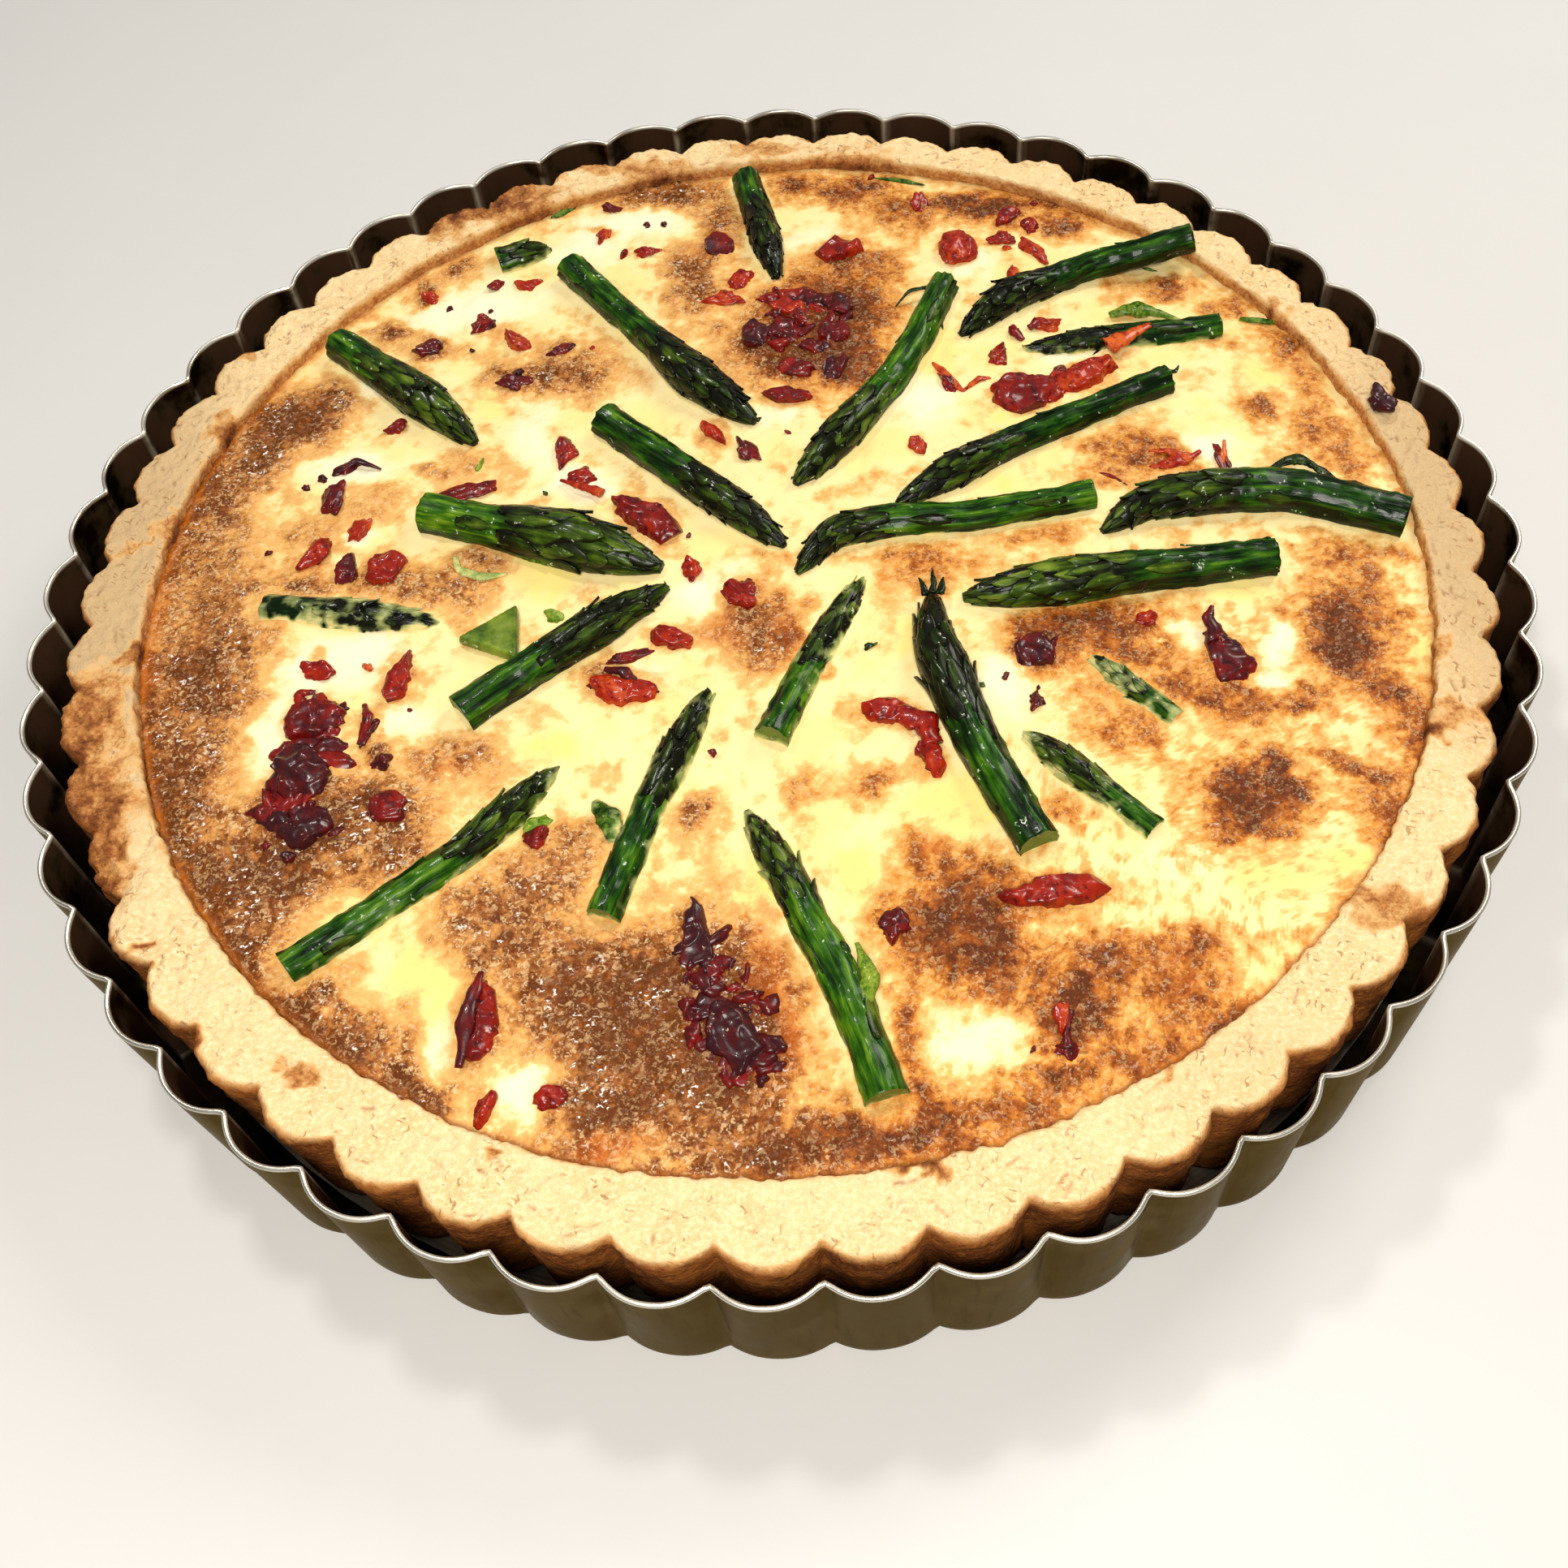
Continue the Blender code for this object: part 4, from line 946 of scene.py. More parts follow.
def strongest(x, y, rows):
    """Soft-edged spots, the strongest counting most where they overlap."""
    total = np.zeros_like(x)
    for centre_x, centre_y, half_x, half_y, strength in rows:
        reach = np.hypot((x - centre_x) / half_x, (y - centre_y) / half_y)
        total += (strength * (1 - smooth(reach, 0.2, 1.35))) ** 3
    return total ** (1 / 3)


def crust_baking(x, y, angle, radius, height):
    """How far each point of the crust has browned, from 0 to 1."""
    reach = fluted(angle, CRUST_CREST, CRUST_DEPTH) - radius
    rim = smooth(1.8 - reach, 0, 1.8) * 0.3
    warp_x = x + 3.5 * cloud(x / 5, y / 5, 31.0)
    warp_y = y + 3.5 * cloud(x / 5, y / 5, 37.0)
    spots = layered(warp_x, warp_y, CRUST_BROWNED) * (1 + 0.5 * cloud(x / 2, y / 2, height / 2))
    inner = smooth(1.2 - (radius - crust_inner(angle)), 0, 1.2) * 0.14
    wall = smooth(CRUST_TOP - 0.5 - height, 0, 1.2) * (radius < 126) * 0.3
    return np.clip(rim + spots + inner + wall + 0.1 * cloud(x / 4, y / 4, 33.0), 0, 1)


def pitted(x, y, angle):
    """Short dashes and pin holes all over the top of the crust, 1 at their deepest."""
    rng = random.Random(PIT_SEED)
    pits = np.zeros_like(x)
    for _ in range(PIT_COUNT):
        column = rng.randrange(CRUST_COLUMNS)
        turn = angle[column]
        radius = rng.uniform(CRUST_INNER_RADIUS + 1, CRUST_CREST - 2)
        heading = turn + math.pi / 2 + rng.gauss(0, 0.6)
        half = rng.uniform(0.0, 1.0) ** 2 * 1.3
        near = np.arange(column - 5, column + 6) % CRUST_COLUMNS
        away_x = x[:, near] - radius * math.cos(turn)
        away_y = y[:, near] - radius * math.sin(turn)
        along = away_x * math.cos(heading) + away_y * math.sin(heading)
        across = away_y * math.cos(heading) - away_x * math.sin(heading)
        gap = np.hypot(np.maximum(np.abs(along) - half, 0), across)
        strength = rng.uniform(0.3, 1.0)
        pits[:, near] = np.maximum(pits[:, near], strength * (1 - smooth(gap, 0.0, 0.45)))
    return pits


def add_crust(material):
    angle = np.linspace(0, 2 * math.pi, CRUST_COLUMNS, endpoint=False)
    rows = crust_profile(angle)
    radius = np.stack([row[0] for row in rows])
    height = np.stack([row[1] for row in rows])
    out = np.array([row[2] for row in rows])[:, None]
    up = np.array([row[3] for row in rows])[:, None]
    side = np.repeat([row[4] for row in rows], CRUST_COLUMNS)
    turn = np.broadcast_to(angle, radius.shape)
    x = radius * np.cos(turn)
    y = radius * np.sin(turn)
    pits = pitted(x, y, angle) * up
    relief = 0.4 * cloud(x / 7, y / 7, height / 7)
    relief += 0.5 * cloud(x / 2.6, y / 2.6, height / 2.6 + 9)
    relief += 0.1 * wave(x / 0.9, y / 0.9, height / 0.9 + 5)
    relief += 0.9 * chip(turn) * cloud(x / 2, y / 2, height / 2 + 3)
    relief -= 0.4 * pits
    baked = crust_baking(x, y, turn, radius, height)
    relief += 0.7 * baked * up * cloud(x / 1.5, y / 1.5, height / 1.5 + 7)
    radius = radius + relief * out
    height = height + relief * up
    points = ring(radius, turn, height).reshape(-1, 3)
    points = np.concatenate([points, [(0, 0, CRUST_BOTTOM), (0, 0, CRUST_FLOOR)]])
    shape = Shape()
    shape.add(
        points,
        loft_faces(len(rows), CRUST_COLUMNS),
        pits=np.concatenate([pits.ravel(), [0.0, 0.0]]),
        side=np.concatenate([side, [1.0, 0.0]]),
        baked=np.concatenate([baked.ravel(), [0.3, 0.3]]),
        # painted shade over the crust's sides
        dull=layered(points[:, 0], points[:, 1], CRUST_PAINTED_SHADE),
    )
    shape.piece("crust_pastry", material, "crust", "crust")


def softened(values, times):
    """Rounds off the corners of a row of values, keeping its ends."""
    values = values.copy()
    for _ in range(times):
        values[1:-1] = (values[:-2] + 2 * values[1:-1] + values[2:]) / 4
    return values


def spear_stations(spear, seed):
    """Distances from the cut end and the widths there, uneven as in the solids."""
    length = sum(math.dist(a, b) for a, b in zip(spear.path, spear.path[1:]))
    bud = min(spear.head * BUD_LENGTH, length * BUD_MOST)
    stem = length - bud
    stations = [
        (0.0, spear.stem),
        (stem * 0.35, spear.stem * 0.98),
        (stem * 0.7, spear.stem),
        (stem, (spear.stem + spear.head) / 2),
        (stem + bud * 0.4, spear.head),
        (stem + bud * 0.7, spear.head * 0.75),
        (stem + bud * 0.9, spear.head * 0.45),
        (length, spear.head * TIP_SHARE),
    ]
    rng = random.Random(seed)
    widths = [width * (1 + rng.uniform(-SPEAR_UNEVENNESS, SPEAR_UNEVENNESS)) for _, width in stations]
    return length, stem, [place for place, _ in stations], widths


class SpearLine:
    """A spear's axis and width along its length, with the directions across and up."""

    def __init__(self, spear, seed):
        self.spear = spear
        self.length, self.stem, marks, widths = spear_stations(spear, seed)
        path = np.array(spear.path, float)
        bends = np.concatenate([[0], np.cumsum(np.hypot(*np.diff(path, axis=0).T))])
        self.distance = np.linspace(0, self.length, int(self.length / SPEAR_STEP) + 2)
        x = softened(np.interp(self.distance, bends, path[:, 0]), PATH_ROUNDING)
        y = softened(np.interp(self.distance, bends, path[:, 1]), PATH_ROUNDING)
        self.width = softened(np.interp(self.distance, marks, widths), WIDTH_ROUNDING)
        share = self.distance / self.length
        lift = np.interp(share, [0, 0.5, 1], spear.lifts)
        height = filling_height(x, y) + lift * np.maximum(self.width, spear.head / 2) / 2
        height += spear.perch * np.maximum(0, 1 - share * PERCH_FADE)
        height = softened(height, PATH_ROUNDING)
        self.axis = np.stack([x, y, height], -1)
        self.ahead, self.across, self.up = directions(self.axis)

    def at(self, values, distance):
        """Values along the spear, read at these distances."""
        if values.ndim == 1:
            return np.interp(distance, self.distance, values)
        return np.stack([np.interp(distance, self.distance, column) for column in values.T], -1)

    def surface(self, distance, angle, offset):
        """Points at these distances and angles round the axis, this far outside the skin."""
        distance, angle, offset = np.broadcast_arrays(distance, angle, offset)
        radius = self.at(self.width, distance) / 2 + offset
        sideways = self.at(self.across, distance) * (radius * np.cos(angle))[..., None]
        upwards = self.at(self.up, distance) * (radius * np.sin(angle))[..., None]
        return self.at(self.axis, distance) + sideways + upwards


def add_core(shape, line, seed, tone):
    """The spear's own stem and bud, grooved along its length, with a flat cut end."""
    angle = np.linspace(0, 2 * math.pi, SPEAR_SIDES, endpoint=False)
    distance = line.distance[:, None]
    round_x = np.cos(angle)[None]
    round_y = np.sin(angle)[None]
    grooves = np.abs(cloud(2.2 * round_x + seed, 2.2 * round_y, distance / 14))
    swell = cloud(round_x, round_y, distance / 7 + seed)
    dents = cloud(1.6 * round_x + seed, 1.6 * round_y, distance / 2.4)
    offset = 0.24 - 0.9 * grooves + 0.24 * swell + 0.14 * dents
    offset[-6:] *= np.linspace(1, 0.2, 6)[:, None]
    body = line.surface(distance, angle, offset)
    inward = (body[0] - line.axis[0])[None]
    shares = np.array([0.35, 0.7, 0.9, 0.985])[:, None, None]
    sink = np.array([0.35, 0.3, 0.12, -0.05])[:, None, None]
    cap = line.axis[0] + inward * shares + line.ahead[0] * sink
    rings = np.concatenate([cap, body])
    points, faces = tube(rings)
    rows = len(rings)
    along = np.concatenate([np.zeros(4), line.distance])
    reach = np.concatenate([shares[:, 0, 0], np.ones(len(body))])[:, None] * line.spear.stem / 2
    lay = laid(reach * np.cos(angle) + seed * 20, reach * np.sin(angle), along[:, None])
    cut = np.repeat(np.arange(rows) < 4, SPEAR_SIDES).astype(float)
    bud = smooth(along, line.stem - 3, line.stem + 3)
    # painted shade: darker on the spear's lower side and in its grooves, together with the scorched flanks
    # and the darker bud
    groove_shade = np.concatenate([np.zeros((4, SPEAR_SIDES)), 1.6 * grooves])
    flank = smooth(0.5 - np.sin(angle), 0, 1.1)[None] + groove_shade + bud[:, None]
    shape.add(
        points,
        faces,
        lay=lay,
        cut=np.concatenate([cut, [1.0, 0.0]]),
        leaf=np.concatenate([np.repeat(bud, SPEAR_SIDES), [0.0, 1.0]]),
        flank=np.concatenate([np.clip(flank, 0, 1.6).ravel(), [0.0, 1.0]]),
        tone=tone,
    )


def add_scale(shape, line, base, length, half_width, angle, thickness, lift, tone):
    """One pointed scale lying on the spear: its base at this distance, its tip towards the bud's."""
    along = np.linspace(0, 1, 9)
    outline = half_width * np.sin(math.pi * (0.18 + 0.81 * along)) ** 0.8 + 0.03
    across = np.concatenate([np.linspace(-1, 1, 7), np.linspace(1, -1, 7)[1:-1]])
    is_top = np.arange(12) < 7
    crown = np.where(is_top, 1 - 0.9 * across**2, -0.9)
    distance = np.minimum(base + length * along, line.length - 0.05)
    radius = np.maximum(line.at(line.width, distance) / 2, 0.35)
    skew = 0.25 * math.sin(base * 7) * along
    turn = angle + skew[:, None] + (outline / radius)[:, None] * across
    rise = thickness * crown * (0.35 + 0.65 * along)[:, None] + (lift * along**3)[:, None]
    rise += 0.16 * wave(turn * 2.5, distance[:, None] / 1.4, base)
    rings = line.surface(distance[:, None], turn, rise)
    points, faces = tube(rings)
    lay = laid(turn * 3 + base, 0.0, distance[:, None])
    # painted shade at the scale's base, under the scales that overlap it, and darker outlines along its sides
    dark = 1.1 * across**2 + 0.9 * (1 - smooth(along, 0.0, 0.55))[:, None]
    flank = np.concatenate([dark.ravel(), [1.0, 0.6]])
    shape.add(points, faces, lay=lay, cut=0.0, leaf=1.0, flank=flank, tone=tone)


def add_bracts(shape, line, rng, tone):
    """The single scales spaced along the stem."""
    place = rng.uniform(5, 9)
    side = rng.choice((0, 1))
    while place < line.stem - 5:
        width = line.at(line.width, place)
        angle = math.radians(rng.uniform(15, 70) if side else rng.uniform(110, 165))
        length = width * rng.uniform(0.9, 1.5)
        add_scale(shape, line, place, length, width * 0.19, angle, 0.18, rng.uniform(0.0, 0.6), tone + 0.2)
        place += rng.uniform(9, 16)
        side = 1 - side


def add_bud(shape, line, rng, tone):
    """The head's overlapping scales, spiralling and shrinking towards the tip."""
    bud = line.length - line.stem
    count = int(18 + bud * 1.5)
    phase = rng.uniform(0, 6)
    for number in range(count):
        share = (number + 0.3) / count
        base = line.stem - 4.5 + (bud + 2.5) * share
        angle = phase + number * GOLDEN_ANGLE
        if math.sin(angle) < -0.55:
            continue
        width = float(line.at(line.width, min(base + 2, line.length)))
        length = line.spear.head * (1.0 - 0.5 * share) * rng.uniform(0.75, 1.25)
        half_width = max(0.38, width * 0.21 * rng.uniform(0.8, 1.25))
        lift = rng.uniform(0.7, 1.2) if rng.random() < 0.16 else rng.uniform(0.0, 0.35)
        own = tone + rng.uniform(-0.35, 0.35)
        add_scale(shape, line, base, length, half_width, angle, 0.14 + 0.02 * width, lift, own)


def strand(marks, widths, flatness=0.45, sides=10):
    """A thin curved strip through marks of x, y and height over the filling."""
    marks = np.array(marks, float)
    steps = np.linspace(0, len(marks) - 1, 7 * len(marks))
    order = np.arange(len(marks))
    path = np.stack([softened(np.interp(steps, order, column), 6) for column in marks.T], -1)
    half = softened(np.interp(steps, order, widths), 3)[:, None, None] / 2
    path[:, 2] += filling_height(path[:, 0], path[:, 1])
    _, across, up = directions(path)
    turn = np.linspace(0, 2 * math.pi, sides, endpoint=False)[None, :, None]
    uneven = 1 + 0.5 * cloud(1.5 * np.cos(turn[..., 0]), steps[:, None] * 2.2, marks[0, 0])[..., None]
    swing = across[:, None] * np.cos(turn) + up[:, None] * np.sin(turn) * flatness
    return tube(path[:, None] + swing * half * uneven)


def veil_of(points, veil):
    """How far the custard has crept over each point of a spear, from 0 to 1."""
    above = points[:, 2] - filling_height(points[:, 0], points[:, 1])
    patchy = cloud(points[:, 0] / 3, points[:, 1] / 3, points[:, 2] / 3)
    reach = 0.4 + veil * (2.4 + 3.8 * patchy)
    return np.clip(1.1 - above / np.maximum(reach, 0.2), 0, 1)


def add_spears(material, lines):
    ceiling = cad_box[1][2] / MM
    for number, (line, tones) in enumerate(zip(lines, SPEAR_TONES), 1):
        rng = random.Random(SPEAR_SEED + number)
        shape = Shape()
        add_core(shape, line, number, tones[0])
        add_bracts(shape, line, rng, tones[1])
        add_bud(shape, line, rng, tones[1])
        for marks, widths, tone in CURLS.get(number, []):
            points, faces = strand(marks, widths)
            shape.add(points, faces, lay=points, cut=0.0, leaf=0.6, flank=0.2, tone=tone)
        points = np.concatenate(shape.points)
        points[:, 2] = np.minimum(points[:, 2], ceiling)
        shape.points = [points]
        shape.values["veil"] = [veil_of(points, line.spear.veil)]
        shape.piece(f"spear_{number:02d}", material, "asparagus", f"asparagus_{number:02d}")


def add_flecks(material):
    """Small pieces of green in the custard."""
    unit, faces = ball(3)
    shape = Shape()
    for number, (x, y, length, width, heading, tone) in enumerate(FLECKS):
        half = np.array([length / 2, width / 2, 0.6])
        points = crumb(unit, half, heading, on_filling(x, y, FLECK_LIFT), number * 5.0)
        shape.add(points, faces, lay=points, cut=0.0, leaf=0.3, flank=0.1, tone=tone, veil=0.35)
    for marks, widths, tone in FLECK_ARCS:
        points, strip = strand(marks, widths)
        shape.add(points, strip, lay=points, cut=0.0, leaf=0.3, flank=0.1, tone=tone, veil=0.8)
    shape.piece("green_flecks", material, "asparagus")


def dense_copy(name, cell, smoothing):
    """Points, normals and faces of a solid's surface in small even cells, in millimetres."""
    work = bpy.data.objects.new("work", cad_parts[name].data.copy())
    bpy.context.scene.collection.objects.link(work)
    remesh = work.modifiers.new("cells", "REMESH")
    remesh.mode = "VOXEL"
    remesh.voxel_size = cell * MM
    soften = work.modifiers.new("soften", "SMOOTH")
    soften.factor = 0.5
    soften.iterations = smoothing
    bpy.context.view_layer.update()
    graph = bpy.context.evaluated_depsgraph_get()
    mesh = bpy.data.meshes.new_from_object(work.evaluated_get(graph))
    points = np.empty(len(mesh.vertices) * 3, np.float32)
    normals = np.empty(len(mesh.vertices) * 3, np.float32)
    mesh.vertices.foreach_get("co", points)
    mesh.vertices.foreach_get("normal", normals)
    faces = [list(polygon.vertices) for polygon in mesh.polygons]
    bpy.data.objects.remove(work, do_unlink=True)
    bpy.data.meshes.remove(mesh)
    return points.reshape(-1, 3) / MM, normals.reshape(-1, 3), faces


def creases(x, y, z):
    """0 along the borders between random cells, 1 inside them."""
    nearest = sample(lambda row: noise.voronoi(row)[0][0], x, y, z)
    second = sample(lambda row: noise.voronoi(row)[0][1], x, y, z)
    return smooth(second - nearest, 0, 0.22)


def torn(points, normals, seed):
    """Fried meat: creased faces and jagged, torn edges."""
    x, y, z = points.T
    flat = np.abs(normals[:, 2])
    jags = cloud(x / 3, y / 3, z / 9 + seed)
    folds = 1 - 2.4 * np.abs(wave(x / 4.2, y / 4.2, seed + 3))
    fine = cloud(x / 1.5, y / 1.5, z / 1.5 + seed)
    shift = (1 - flat) * 1.3 * jags + flat * 0.45 * folds - 0.1 + 0.05 * fine
    shift += 0.22 * (creases(x / 6.5, y / 6.5, z / 6.5 + seed) - 0.8)
    return points + normals * shift[:, None]


def cut_flat(points, seed):
    """Shaves small flat faces off a piece's corners."""
    rng = np.random.default_rng(seed)
    for _ in range(FLAT_CUTS):
        side = rng.normal(size=3) * (1, 1, 0.7)
        side /= np.linalg.norm(side)
        reach = points @ side
        excess = np.maximum(reach - reach.max() + rng.uniform(0.25, 0.8), 0)
        points = points - excess[:, None] * side
    return points


def add_bacon(material):
    for number, tone in enumerate(BACON_TONES, 1):
        name = f"bacon_{number:02d}"
        points, normals, faces = dense_copy(name, BACON_CELL, 2)
        points = cut_flat(torn(points, normals, number * 7.0), number)
        low = points[:, 2] - filling_height(points[:, 0], points[:, 1])
        points[:, 2] -= BACON_SINK * smooth(1.4 - low, 0, 1.4)
        shape = Shape()
        shape.add(points, faces, tone=tone)
        if number in TAILS:
            marks, widths, own = TAILS[number]
            tail, strip = strand(marks, widths)
            shape.add(tail, strip, tone=own)
        shape.piece(f"{name}_fried", material, "bacon", name)


def ball(subdivisions):
    bm = bmesh.new()
    bmesh.ops.create_icosphere(bm, subdivisions=subdivisions, radius=1.0)
    points = np.array([vert.co[:] for vert in bm.verts])
    faces = [[vert.index for vert in face.verts] for face in bm.faces]
    bm.free()
    return points, faces


def faceted(unit, seed):
    """Distance from the middle to the skin of a random many-sided lump, in each direction."""
    rng = np.random.default_rng(int(seed * 10))
    sides = rng.normal(size=(CRUMB_FACETS, 3))
    sides /= np.linalg.norm(sides, axis=1)[:, None]
    depth = rng.uniform(0.62, 1.0, CRUMB_FACETS)
    facing = np.maximum(unit @ sides.T, 0.05)
    return np.minimum((depth / facing).min(1), 1.45)


def crumb(unit, half, heading, centre, seed):
    """A torn flake or crumb with flat sides and a ragged outline."""
    x, y, z = unit.T
    uneven = faceted(unit, seed) * (1.08 + 0.45 * cloud(x, y, seed))
    uneven += 0.14 * cloud(2.4 * x, 2.4 * y, 2 * z + seed)
    points = unit * uneven[:, None] * half
    turn = np.array(Matrix.Rotation(math.radians(heading), 3, "Z"))
    return points @ turn.T + centre


def add_bits(material):
    rng = random.Random(BITS_SEED)
    unit, faces = ball(4)
    shape = Shape()
    for number, (x, y, length, width, heading) in enumerate(BITS):
        half = np.array([length / 2, width / 2, width * 0.32]) * 1.08
        points = crumb(unit, half, heading, on_filling(x, y, BIT_LIFT), number * 3.0)
        shape.add(points, faces, tone=rng.uniform(0.2, 0.8))
    unit, faces = ball(3)
    for number, (x, y, size, tone) in enumerate(CRUMBS):
        half = np.array([size / 2, size * 0.38, size * 0.35])
        centre = on_filling(x, y, CRUMB_LIFT)
        points = crumb(unit, half, rng.uniform(0, 180), centre, number * 11.0)
        shape.add(points, faces, tone=tone)
    for x, y, long, wide, heading, count, size, tone in CLUSTERS:
        turn = math.radians(heading)
        for _ in range(count):
            along = rng.uniform(-1, 1)
            across = rng.uniform(-1, 1) * math.sqrt(1 - along * along)
            own_x = x + along * long * math.cos(turn) - across * wide * math.sin(turn)
            own_y = y + along * long * math.sin(turn) + across * wide * math.cos(turn)
            own = size * rng.uniform(0.5, 1.2)
            half = np.array([own / 2, own * rng.uniform(0.24, 0.44), 0.6 + own * 0.11])
            centre = on_filling(own_x, own_y, CLUSTER_LIFT)
            points = crumb(unit, half, rng.uniform(0, 180), centre, rng.uniform(0, 500))
            shape.add(points, faces, tone=tone + rng.uniform(-0.12, 0.2))
    x, y, size = BURNT_CRUMB
    unit, faces = ball(4)
    half = np.full(3, size / 2) * (1.1, 0.95, 0.6)
    points = crumb(unit, half, 30, np.array([x, y, CRUST_TOP + size * 0.2]), 4.0)
    shape.add(points, faces, tone=0.05)
    for marks, widths, tone in STRIPS:
        points, strip = strand(marks, widths)
        shape.add(points, strip, tone=tone)
    shape.piece("bacon_bits", material, "bacon", "filling")


def outside_spears(x, y, lines):
    """Distance seen from above to the nearest spear's side, negative under it."""
    nearest = np.full(x.shape, 99.0)
    for line in lines:
        middle = line.axis[::3]
        half = line.width[::3] / 2
        low = middle.min(0) - 10
        high = middle.max(0) + 10
        close = (x > low[0]) & (x < high[0]) & (y > low[1]) & (y < high[1])
        gaps = np.hypot(x[close][:, None] - middle[:, 0], y[close][:, None] - middle[:, 1]) - half
        nearest[close] = np.minimum(nearest[close], gaps.min(1))
    return nearest


def outside_bacon(x, y):
    """Rough distance to the nearest piece of bacon, from the solids' boxes."""
    nearest = np.full(x.shape, 99.0)
    for number in range(1, len(BACON_TONES) + 1):
        low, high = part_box(f"bacon_{number:02d}")
        middle = (low + high) / 2 / MM
        half = (high - low) / 2 / MM
        reach = np.hypot((x - middle.x) / half.x, (y - middle.y) / half.y)
        nearest = np.minimum(nearest, (reach - 0.85) * min(half.x, half.y))
    return nearest


def disc_grid(cells):
    """A square grid bent to a disc of radius 1 with even cells, as in the solids."""
    line = np.linspace(-1, 1, cells + 1)
    a, b = np.meshgrid(line, line)
    wide = np.abs(a) > np.abs(b)
    safe_a = np.where(wide, a, 1.0)
    safe_b = np.where(wide | (b == 0), 1.0, b)
    angle = np.where(wide, math.pi / 4 * b / safe_a, math.pi / 2 - math.pi / 4 * a / safe_b)
    share = np.where(wide, a, b)
    return share * np.cos(angle), share * np.sin(angle)


def filling_values(x, y, edge_gap, lines):
    """Named values of the baked surface and its height over the plain dome."""
    warp_x = x + 3.0 * cloud(x / 9, y / 9, 3.0) + 1.1 * cloud(x / 2.8, y / 2.8, 5.0)
    warp_y = y + 3.0 * cloud(x / 9, y / 9, 13.0) + 1.1 * cloud(x / 2.8, y / 2.8, 15.0)
    core = strongest(warp_x, warp_y, BROWNED)
    halo = layered(warp_x, warp_y, BROWNED, HALO_GROWTH, HALO_SHARE)
    core = np.minimum(core, 1.0)
    white = layered(warp_x, warp_y, CHEESE)
    spear_gap = outside_spears(x, y, lines)
    bacon_gap = outside_bacon(x, y)
    brown = 1 - (1 - core) * (1 - halo * (1 - 0.75 * white))
    brown *= 1 - 0.6 * white * (1 - core)
    faint = smooth(cloud(x / 8, y / 8, 41.0), -0.15, 0.5) + 0.6 * smooth(cloud(x / 3, y / 3, 49.0), 0.0, 0.6)
    yellow = layered(warp_x, warp_y, YELLOW) + 0.5 * smooth(cloud(x / 12, y / 12, 51.0), -0.1, 0.5)
    brown += 0.17 * faint * (1 - white) * np.clip(1 - 0.7 * yellow, 0, 1)
    brown *= 1 + 0.26 * cloud(x / 3.2, y / 3.2, 47.0)
    pebbled = smooth(x - y, 50, 120) * (1 - white) * smooth(cloud(x / 2.3, y / 2.3, 57.0), -0.05, 0.35)
    brown += 0.17 * pebbled * (1 - core)
    brown += 0.2 * np.exp(-np.maximum(bacon_gap, 0) / 1.2)
    brown *= 1 - 0.5 * smooth(2.4 - spear_gap, 0, 2.4)
    facing = -(x + y) / math.sqrt(2) / CRUST_INNER_RADIUS
    strength = 0.2 + 0.8 * smooth(facing, -0.5, 0.6)
    patchy = 0.75 + 0.6 * cloud(x / 7, y / 7, 43.0)
    caramel = np.clip(smooth(2.1 - edge_gap, 0, 1.7) * strength * patchy, 0, 1)
    brown += 0.34 * smooth(5 - edge_gap, 0, 5) * strength * patchy
    brown = np.clip(brown, 0, 1.05)
    orange = layered(warp_x, warp_y, ORANGE) * (0.75 + 0.6 * cloud(x / 2.5, y / 2.5, 53.0))
    rise = 0.28 * cloud(x / 9, y / 9, 21.0) + 0.12 * cloud(x / 2.8, y / 2.8, 23.0)
    rise += 0.3 * smooth(brown, 0.15, 0.6) + brown * 0.4 * cloud(x / 1.7, y / 1.7, 25.0)
    rise += 0.3 * white * (0.5 + cloud(x / 5, y / 5, 27.0))
    rise += 0.5 * np.exp(-np.maximum(spear_gap, 0) / 1.2)
    rise += 0.35 * np.exp(-np.maximum(bacon_gap, 0) / 1.2)
    rise += 0.4 * np.exp(-np.maximum(edge_gap, 0) / 1.1) - 0.3 * smooth(4 - edge_gap, 0, 4)
    for ring_x, ring_y, radius in RINGS:
        away = np.hypot(x - ring_x, y - ring_y) - radius
        rise += 0.6 * np.exp(-((away / 0.6) ** 2))
        brown += 0.3 * np.exp(-((away / 0.7) ** 2))
    values = {"brown": brown, "white": white * (1 - 0.8 * core), "caramel": caramel}
    # oily skin, glossier towards the left, which also carries the painted glints
    values["oily"] = 0.2 + 0.8 * smooth(18 - x, 0, 36)
    values |= {"yellow": np.clip(yellow, 0, 1) * (1 - white), "orange": np.clip(orange, 0, 1)}
    return values, rise


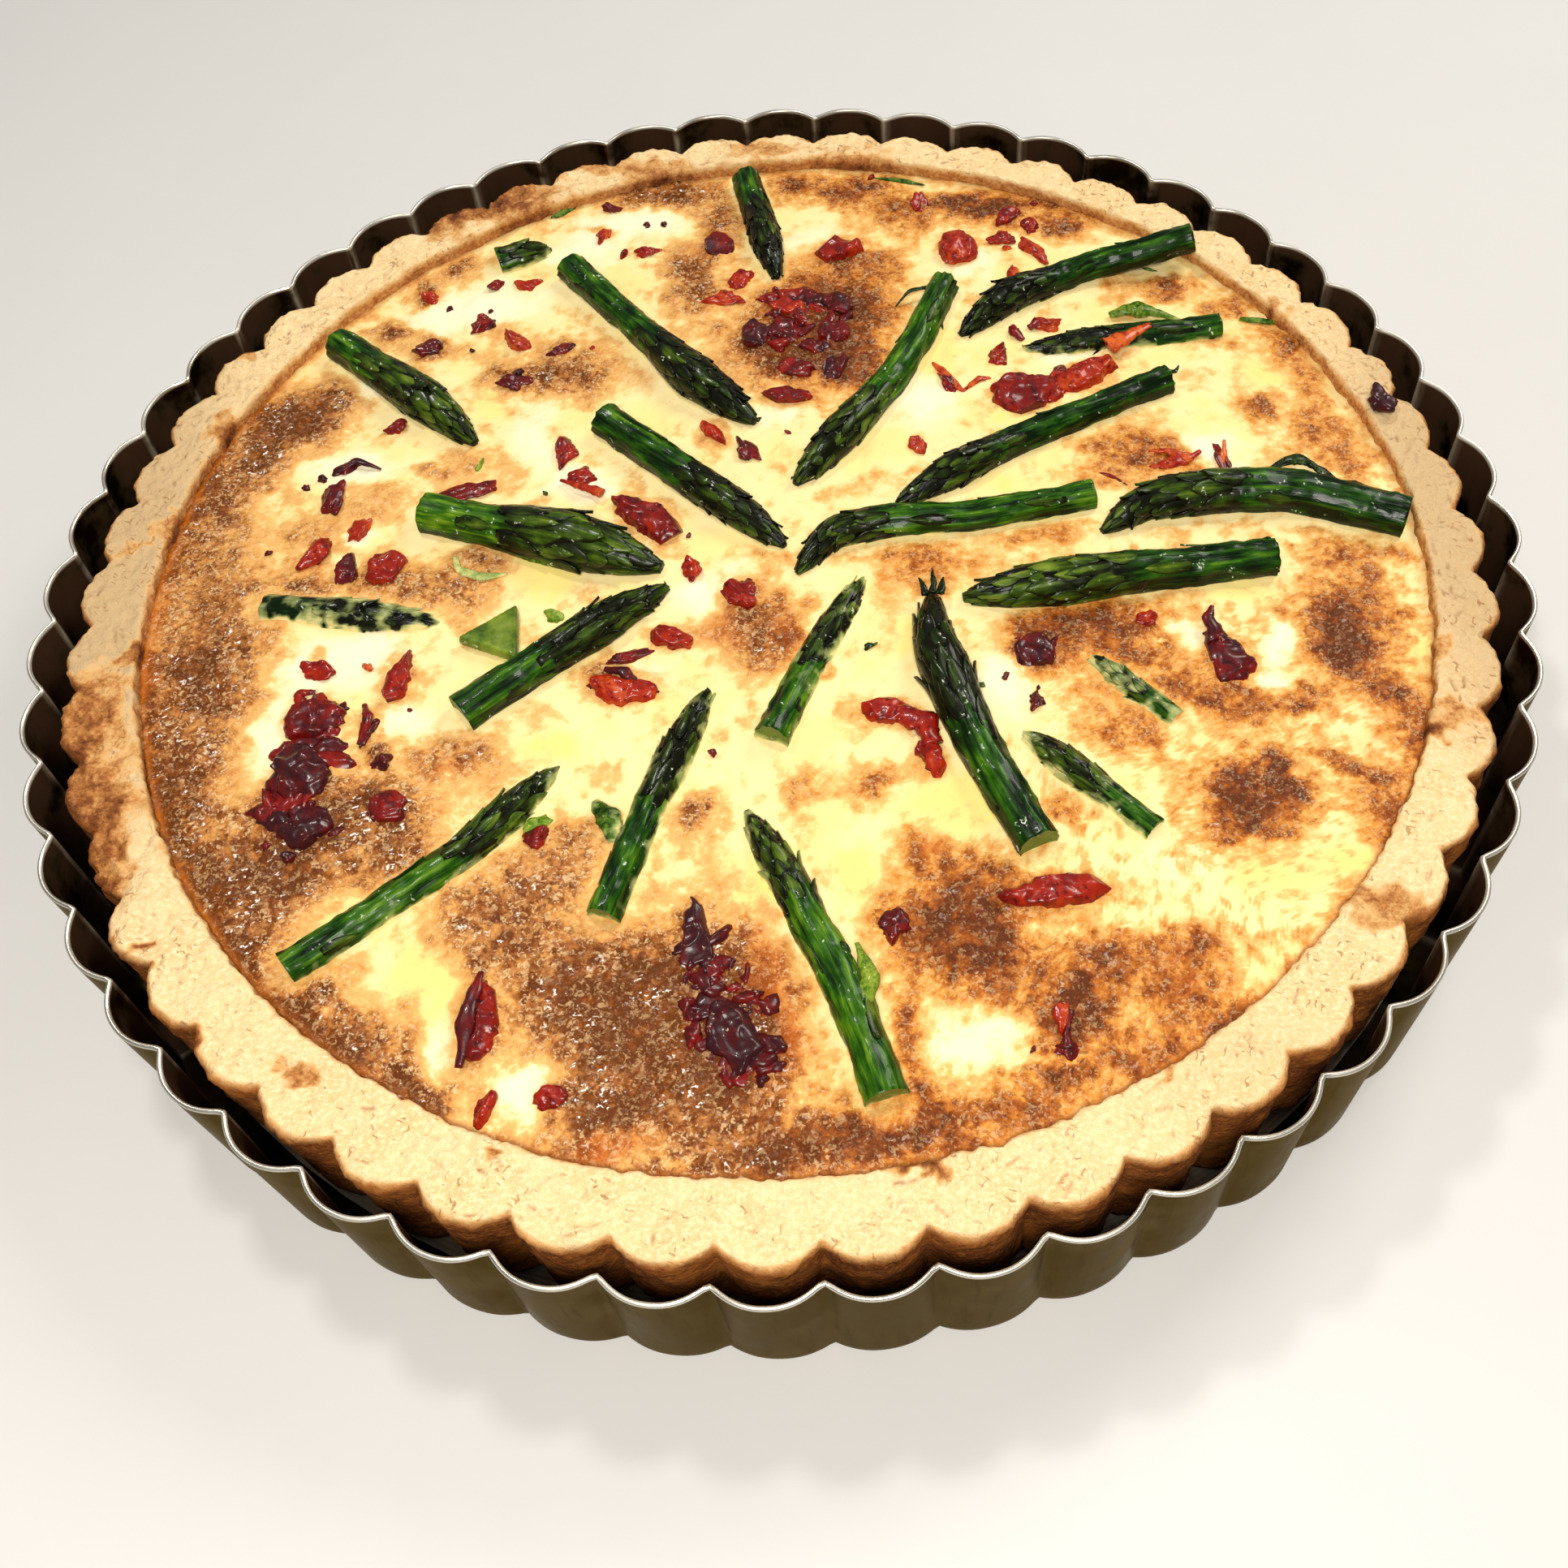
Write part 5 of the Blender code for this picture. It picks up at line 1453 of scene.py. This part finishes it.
def add_filling(material, lines):
    unit_x, unit_y = disc_grid(FILLING_CELLS)
    reach = crust_inner(np.arctan2(unit_y, unit_x), -FILLING_TUCK)
    x = unit_x * reach
    y = unit_y * reach
    edge_gap = reach - np.hypot(x, y)
    values, rise = filling_values(x, y, edge_gap, lines)
    top = np.stack([x, y, filling_height(x, y) + rise], -1)
    side = FILLING_CELLS + 1
    index = np.arange(side * side).reshape(side, side)
    border = np.concatenate([index[0, :-1], index[:-1, -1], index[-1, :0:-1], index[:0:-1, 0]])
    count = side * side
    edge = top.reshape(-1, 3)[border]
    angle = np.arctan2(edge[:, 1], edge[:, 0])
    foot = ring(crust_inner(angle, CRUST_WALL_DRAFT + FILLING_FOOT_GAP), angle, FILLING_BOTTOM)
    points = np.concatenate([top.reshape(-1, 3), foot, [(0, 0, FILLING_BOTTOM)]])
    faces = grid_faces(side, side)
    around = len(border)
    for near in range(around):
        far = (near + 1) % around
        faces.append([int(border[far]), int(border[near]), count + near, count + far])
        faces.append([count + far, count + near, count + around])
    full = {}
    for key, numbers in values.items():
        flat = numbers.ravel()
        full[key] = np.concatenate([flat, flat[border], [0.0]])
    shape = Shape()
    shape.add(points, faces, **full)
    shape.piece("filling_bake", material, "filling", "filling")


def add_floor():
    mesh = bpy.data.meshes.new("floor")
    corners = [(x * FLOOR_REACH, y * FLOOR_REACH, 0) for x, y in ((-1, -1), (1, -1), (1, 1), (-1, 1))]
    mesh.from_pydata(corners, [], [(0, 1, 2, 3)])
    floor = bpy.data.objects.new("floor", mesh)
    floor.location.z = -FLOOR_DROP * MM
    bpy.context.scene.collection.objects.link(floor)
    paint = Finish("pale floor")
    mottled = mix(speckle(paint.place(), 60.0), *FLOOR_TONES)
    mesh.materials.append(paint.done(Base_Color=mottled, Roughness=0.7))


def add_light(name, place, size, power, tint):
    data = bpy.data.lights.new(name, "AREA")
    data.shape = "RECTANGLE"
    data.size, data.size_y = size
    data.energy = power
    data.color = tint
    light = bpy.data.objects.new(name, data)
    light.location = place
    light.rotation_euler = Vector(place).to_track_quat("Z", "Y").to_euler()
    bpy.context.scene.collection.objects.link(light)


def add_lights():
    for name, place, size, power, tint in LIGHTS:
        add_light(name, place, size, power, tint)
    world = bpy.data.worlds.new("studio")
    world.use_nodes = True
    background = world.node_tree.nodes["Background"]
    background.inputs["Color"].default_value = WORLD_COLOUR
    background.inputs["Strength"].default_value = WORLD_STRENGTH
    bpy.context.scene.world = world
    bpy.context.scene.view_settings.view_transform = "Standard"


def add_camera():
    data = bpy.data.cameras.new("camera")
    data.lens = CAMERA_LENS
    data.sensor_width = CAMERA_SENSOR
    data.shift_x = CAMERA_SHIFT
    data.clip_start = CAMERA_NEAR
    camera = bpy.data.objects.new("camera", data)
    camera.location = Vector(CAMERA_PLACE) * MM
    turn = Matrix.Rotation(CAMERA_PITCH, 3, "X") @ Matrix.Rotation(CAMERA_ROLL, 3, "Z")
    camera.rotation_euler = turn.to_euler()
    bpy.context.scene.collection.objects.link(camera)
    bpy.context.scene.camera = camera


def add_slice(material):
    """The flat three-cornered slice of stem, from its solid."""
    points, normals, faces = dense_copy("asparagus_slice", SLICE_CELL, 3)
    x, y, z = (points / SLICE_GRAIN).T
    points = points + normals * (SLICE_RELIEF * cloud(x, y, z + 3))[:, None]
    shape = Shape()
    shape.add(points, faces, lay=points * 0.2, cut=0.0, leaf=0.85, flank=0.0, tone=0.95, veil=0.0)
    shape.piece("spear_slice", material, "asparagus", "asparagus_slice")


def main():
    add_camera()
    add_lights()
    add_floor()
    lines = [SpearLine(spear, number) for number, spear in enumerate(SPEARS, 1)]
    add_tin(tin_material())
    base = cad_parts["tin_base"]
    base.data.materials.clear()
    base.data.materials.append(base_material())
    add_crust(crust_material())
    add_filling(filling_material(), lines)
    green = asparagus_material()
    add_spears(green, lines)
    add_slice(green)
    add_flecks(green)
    red = bacon_material()
    add_bacon(red)
    add_bits(red)


main()
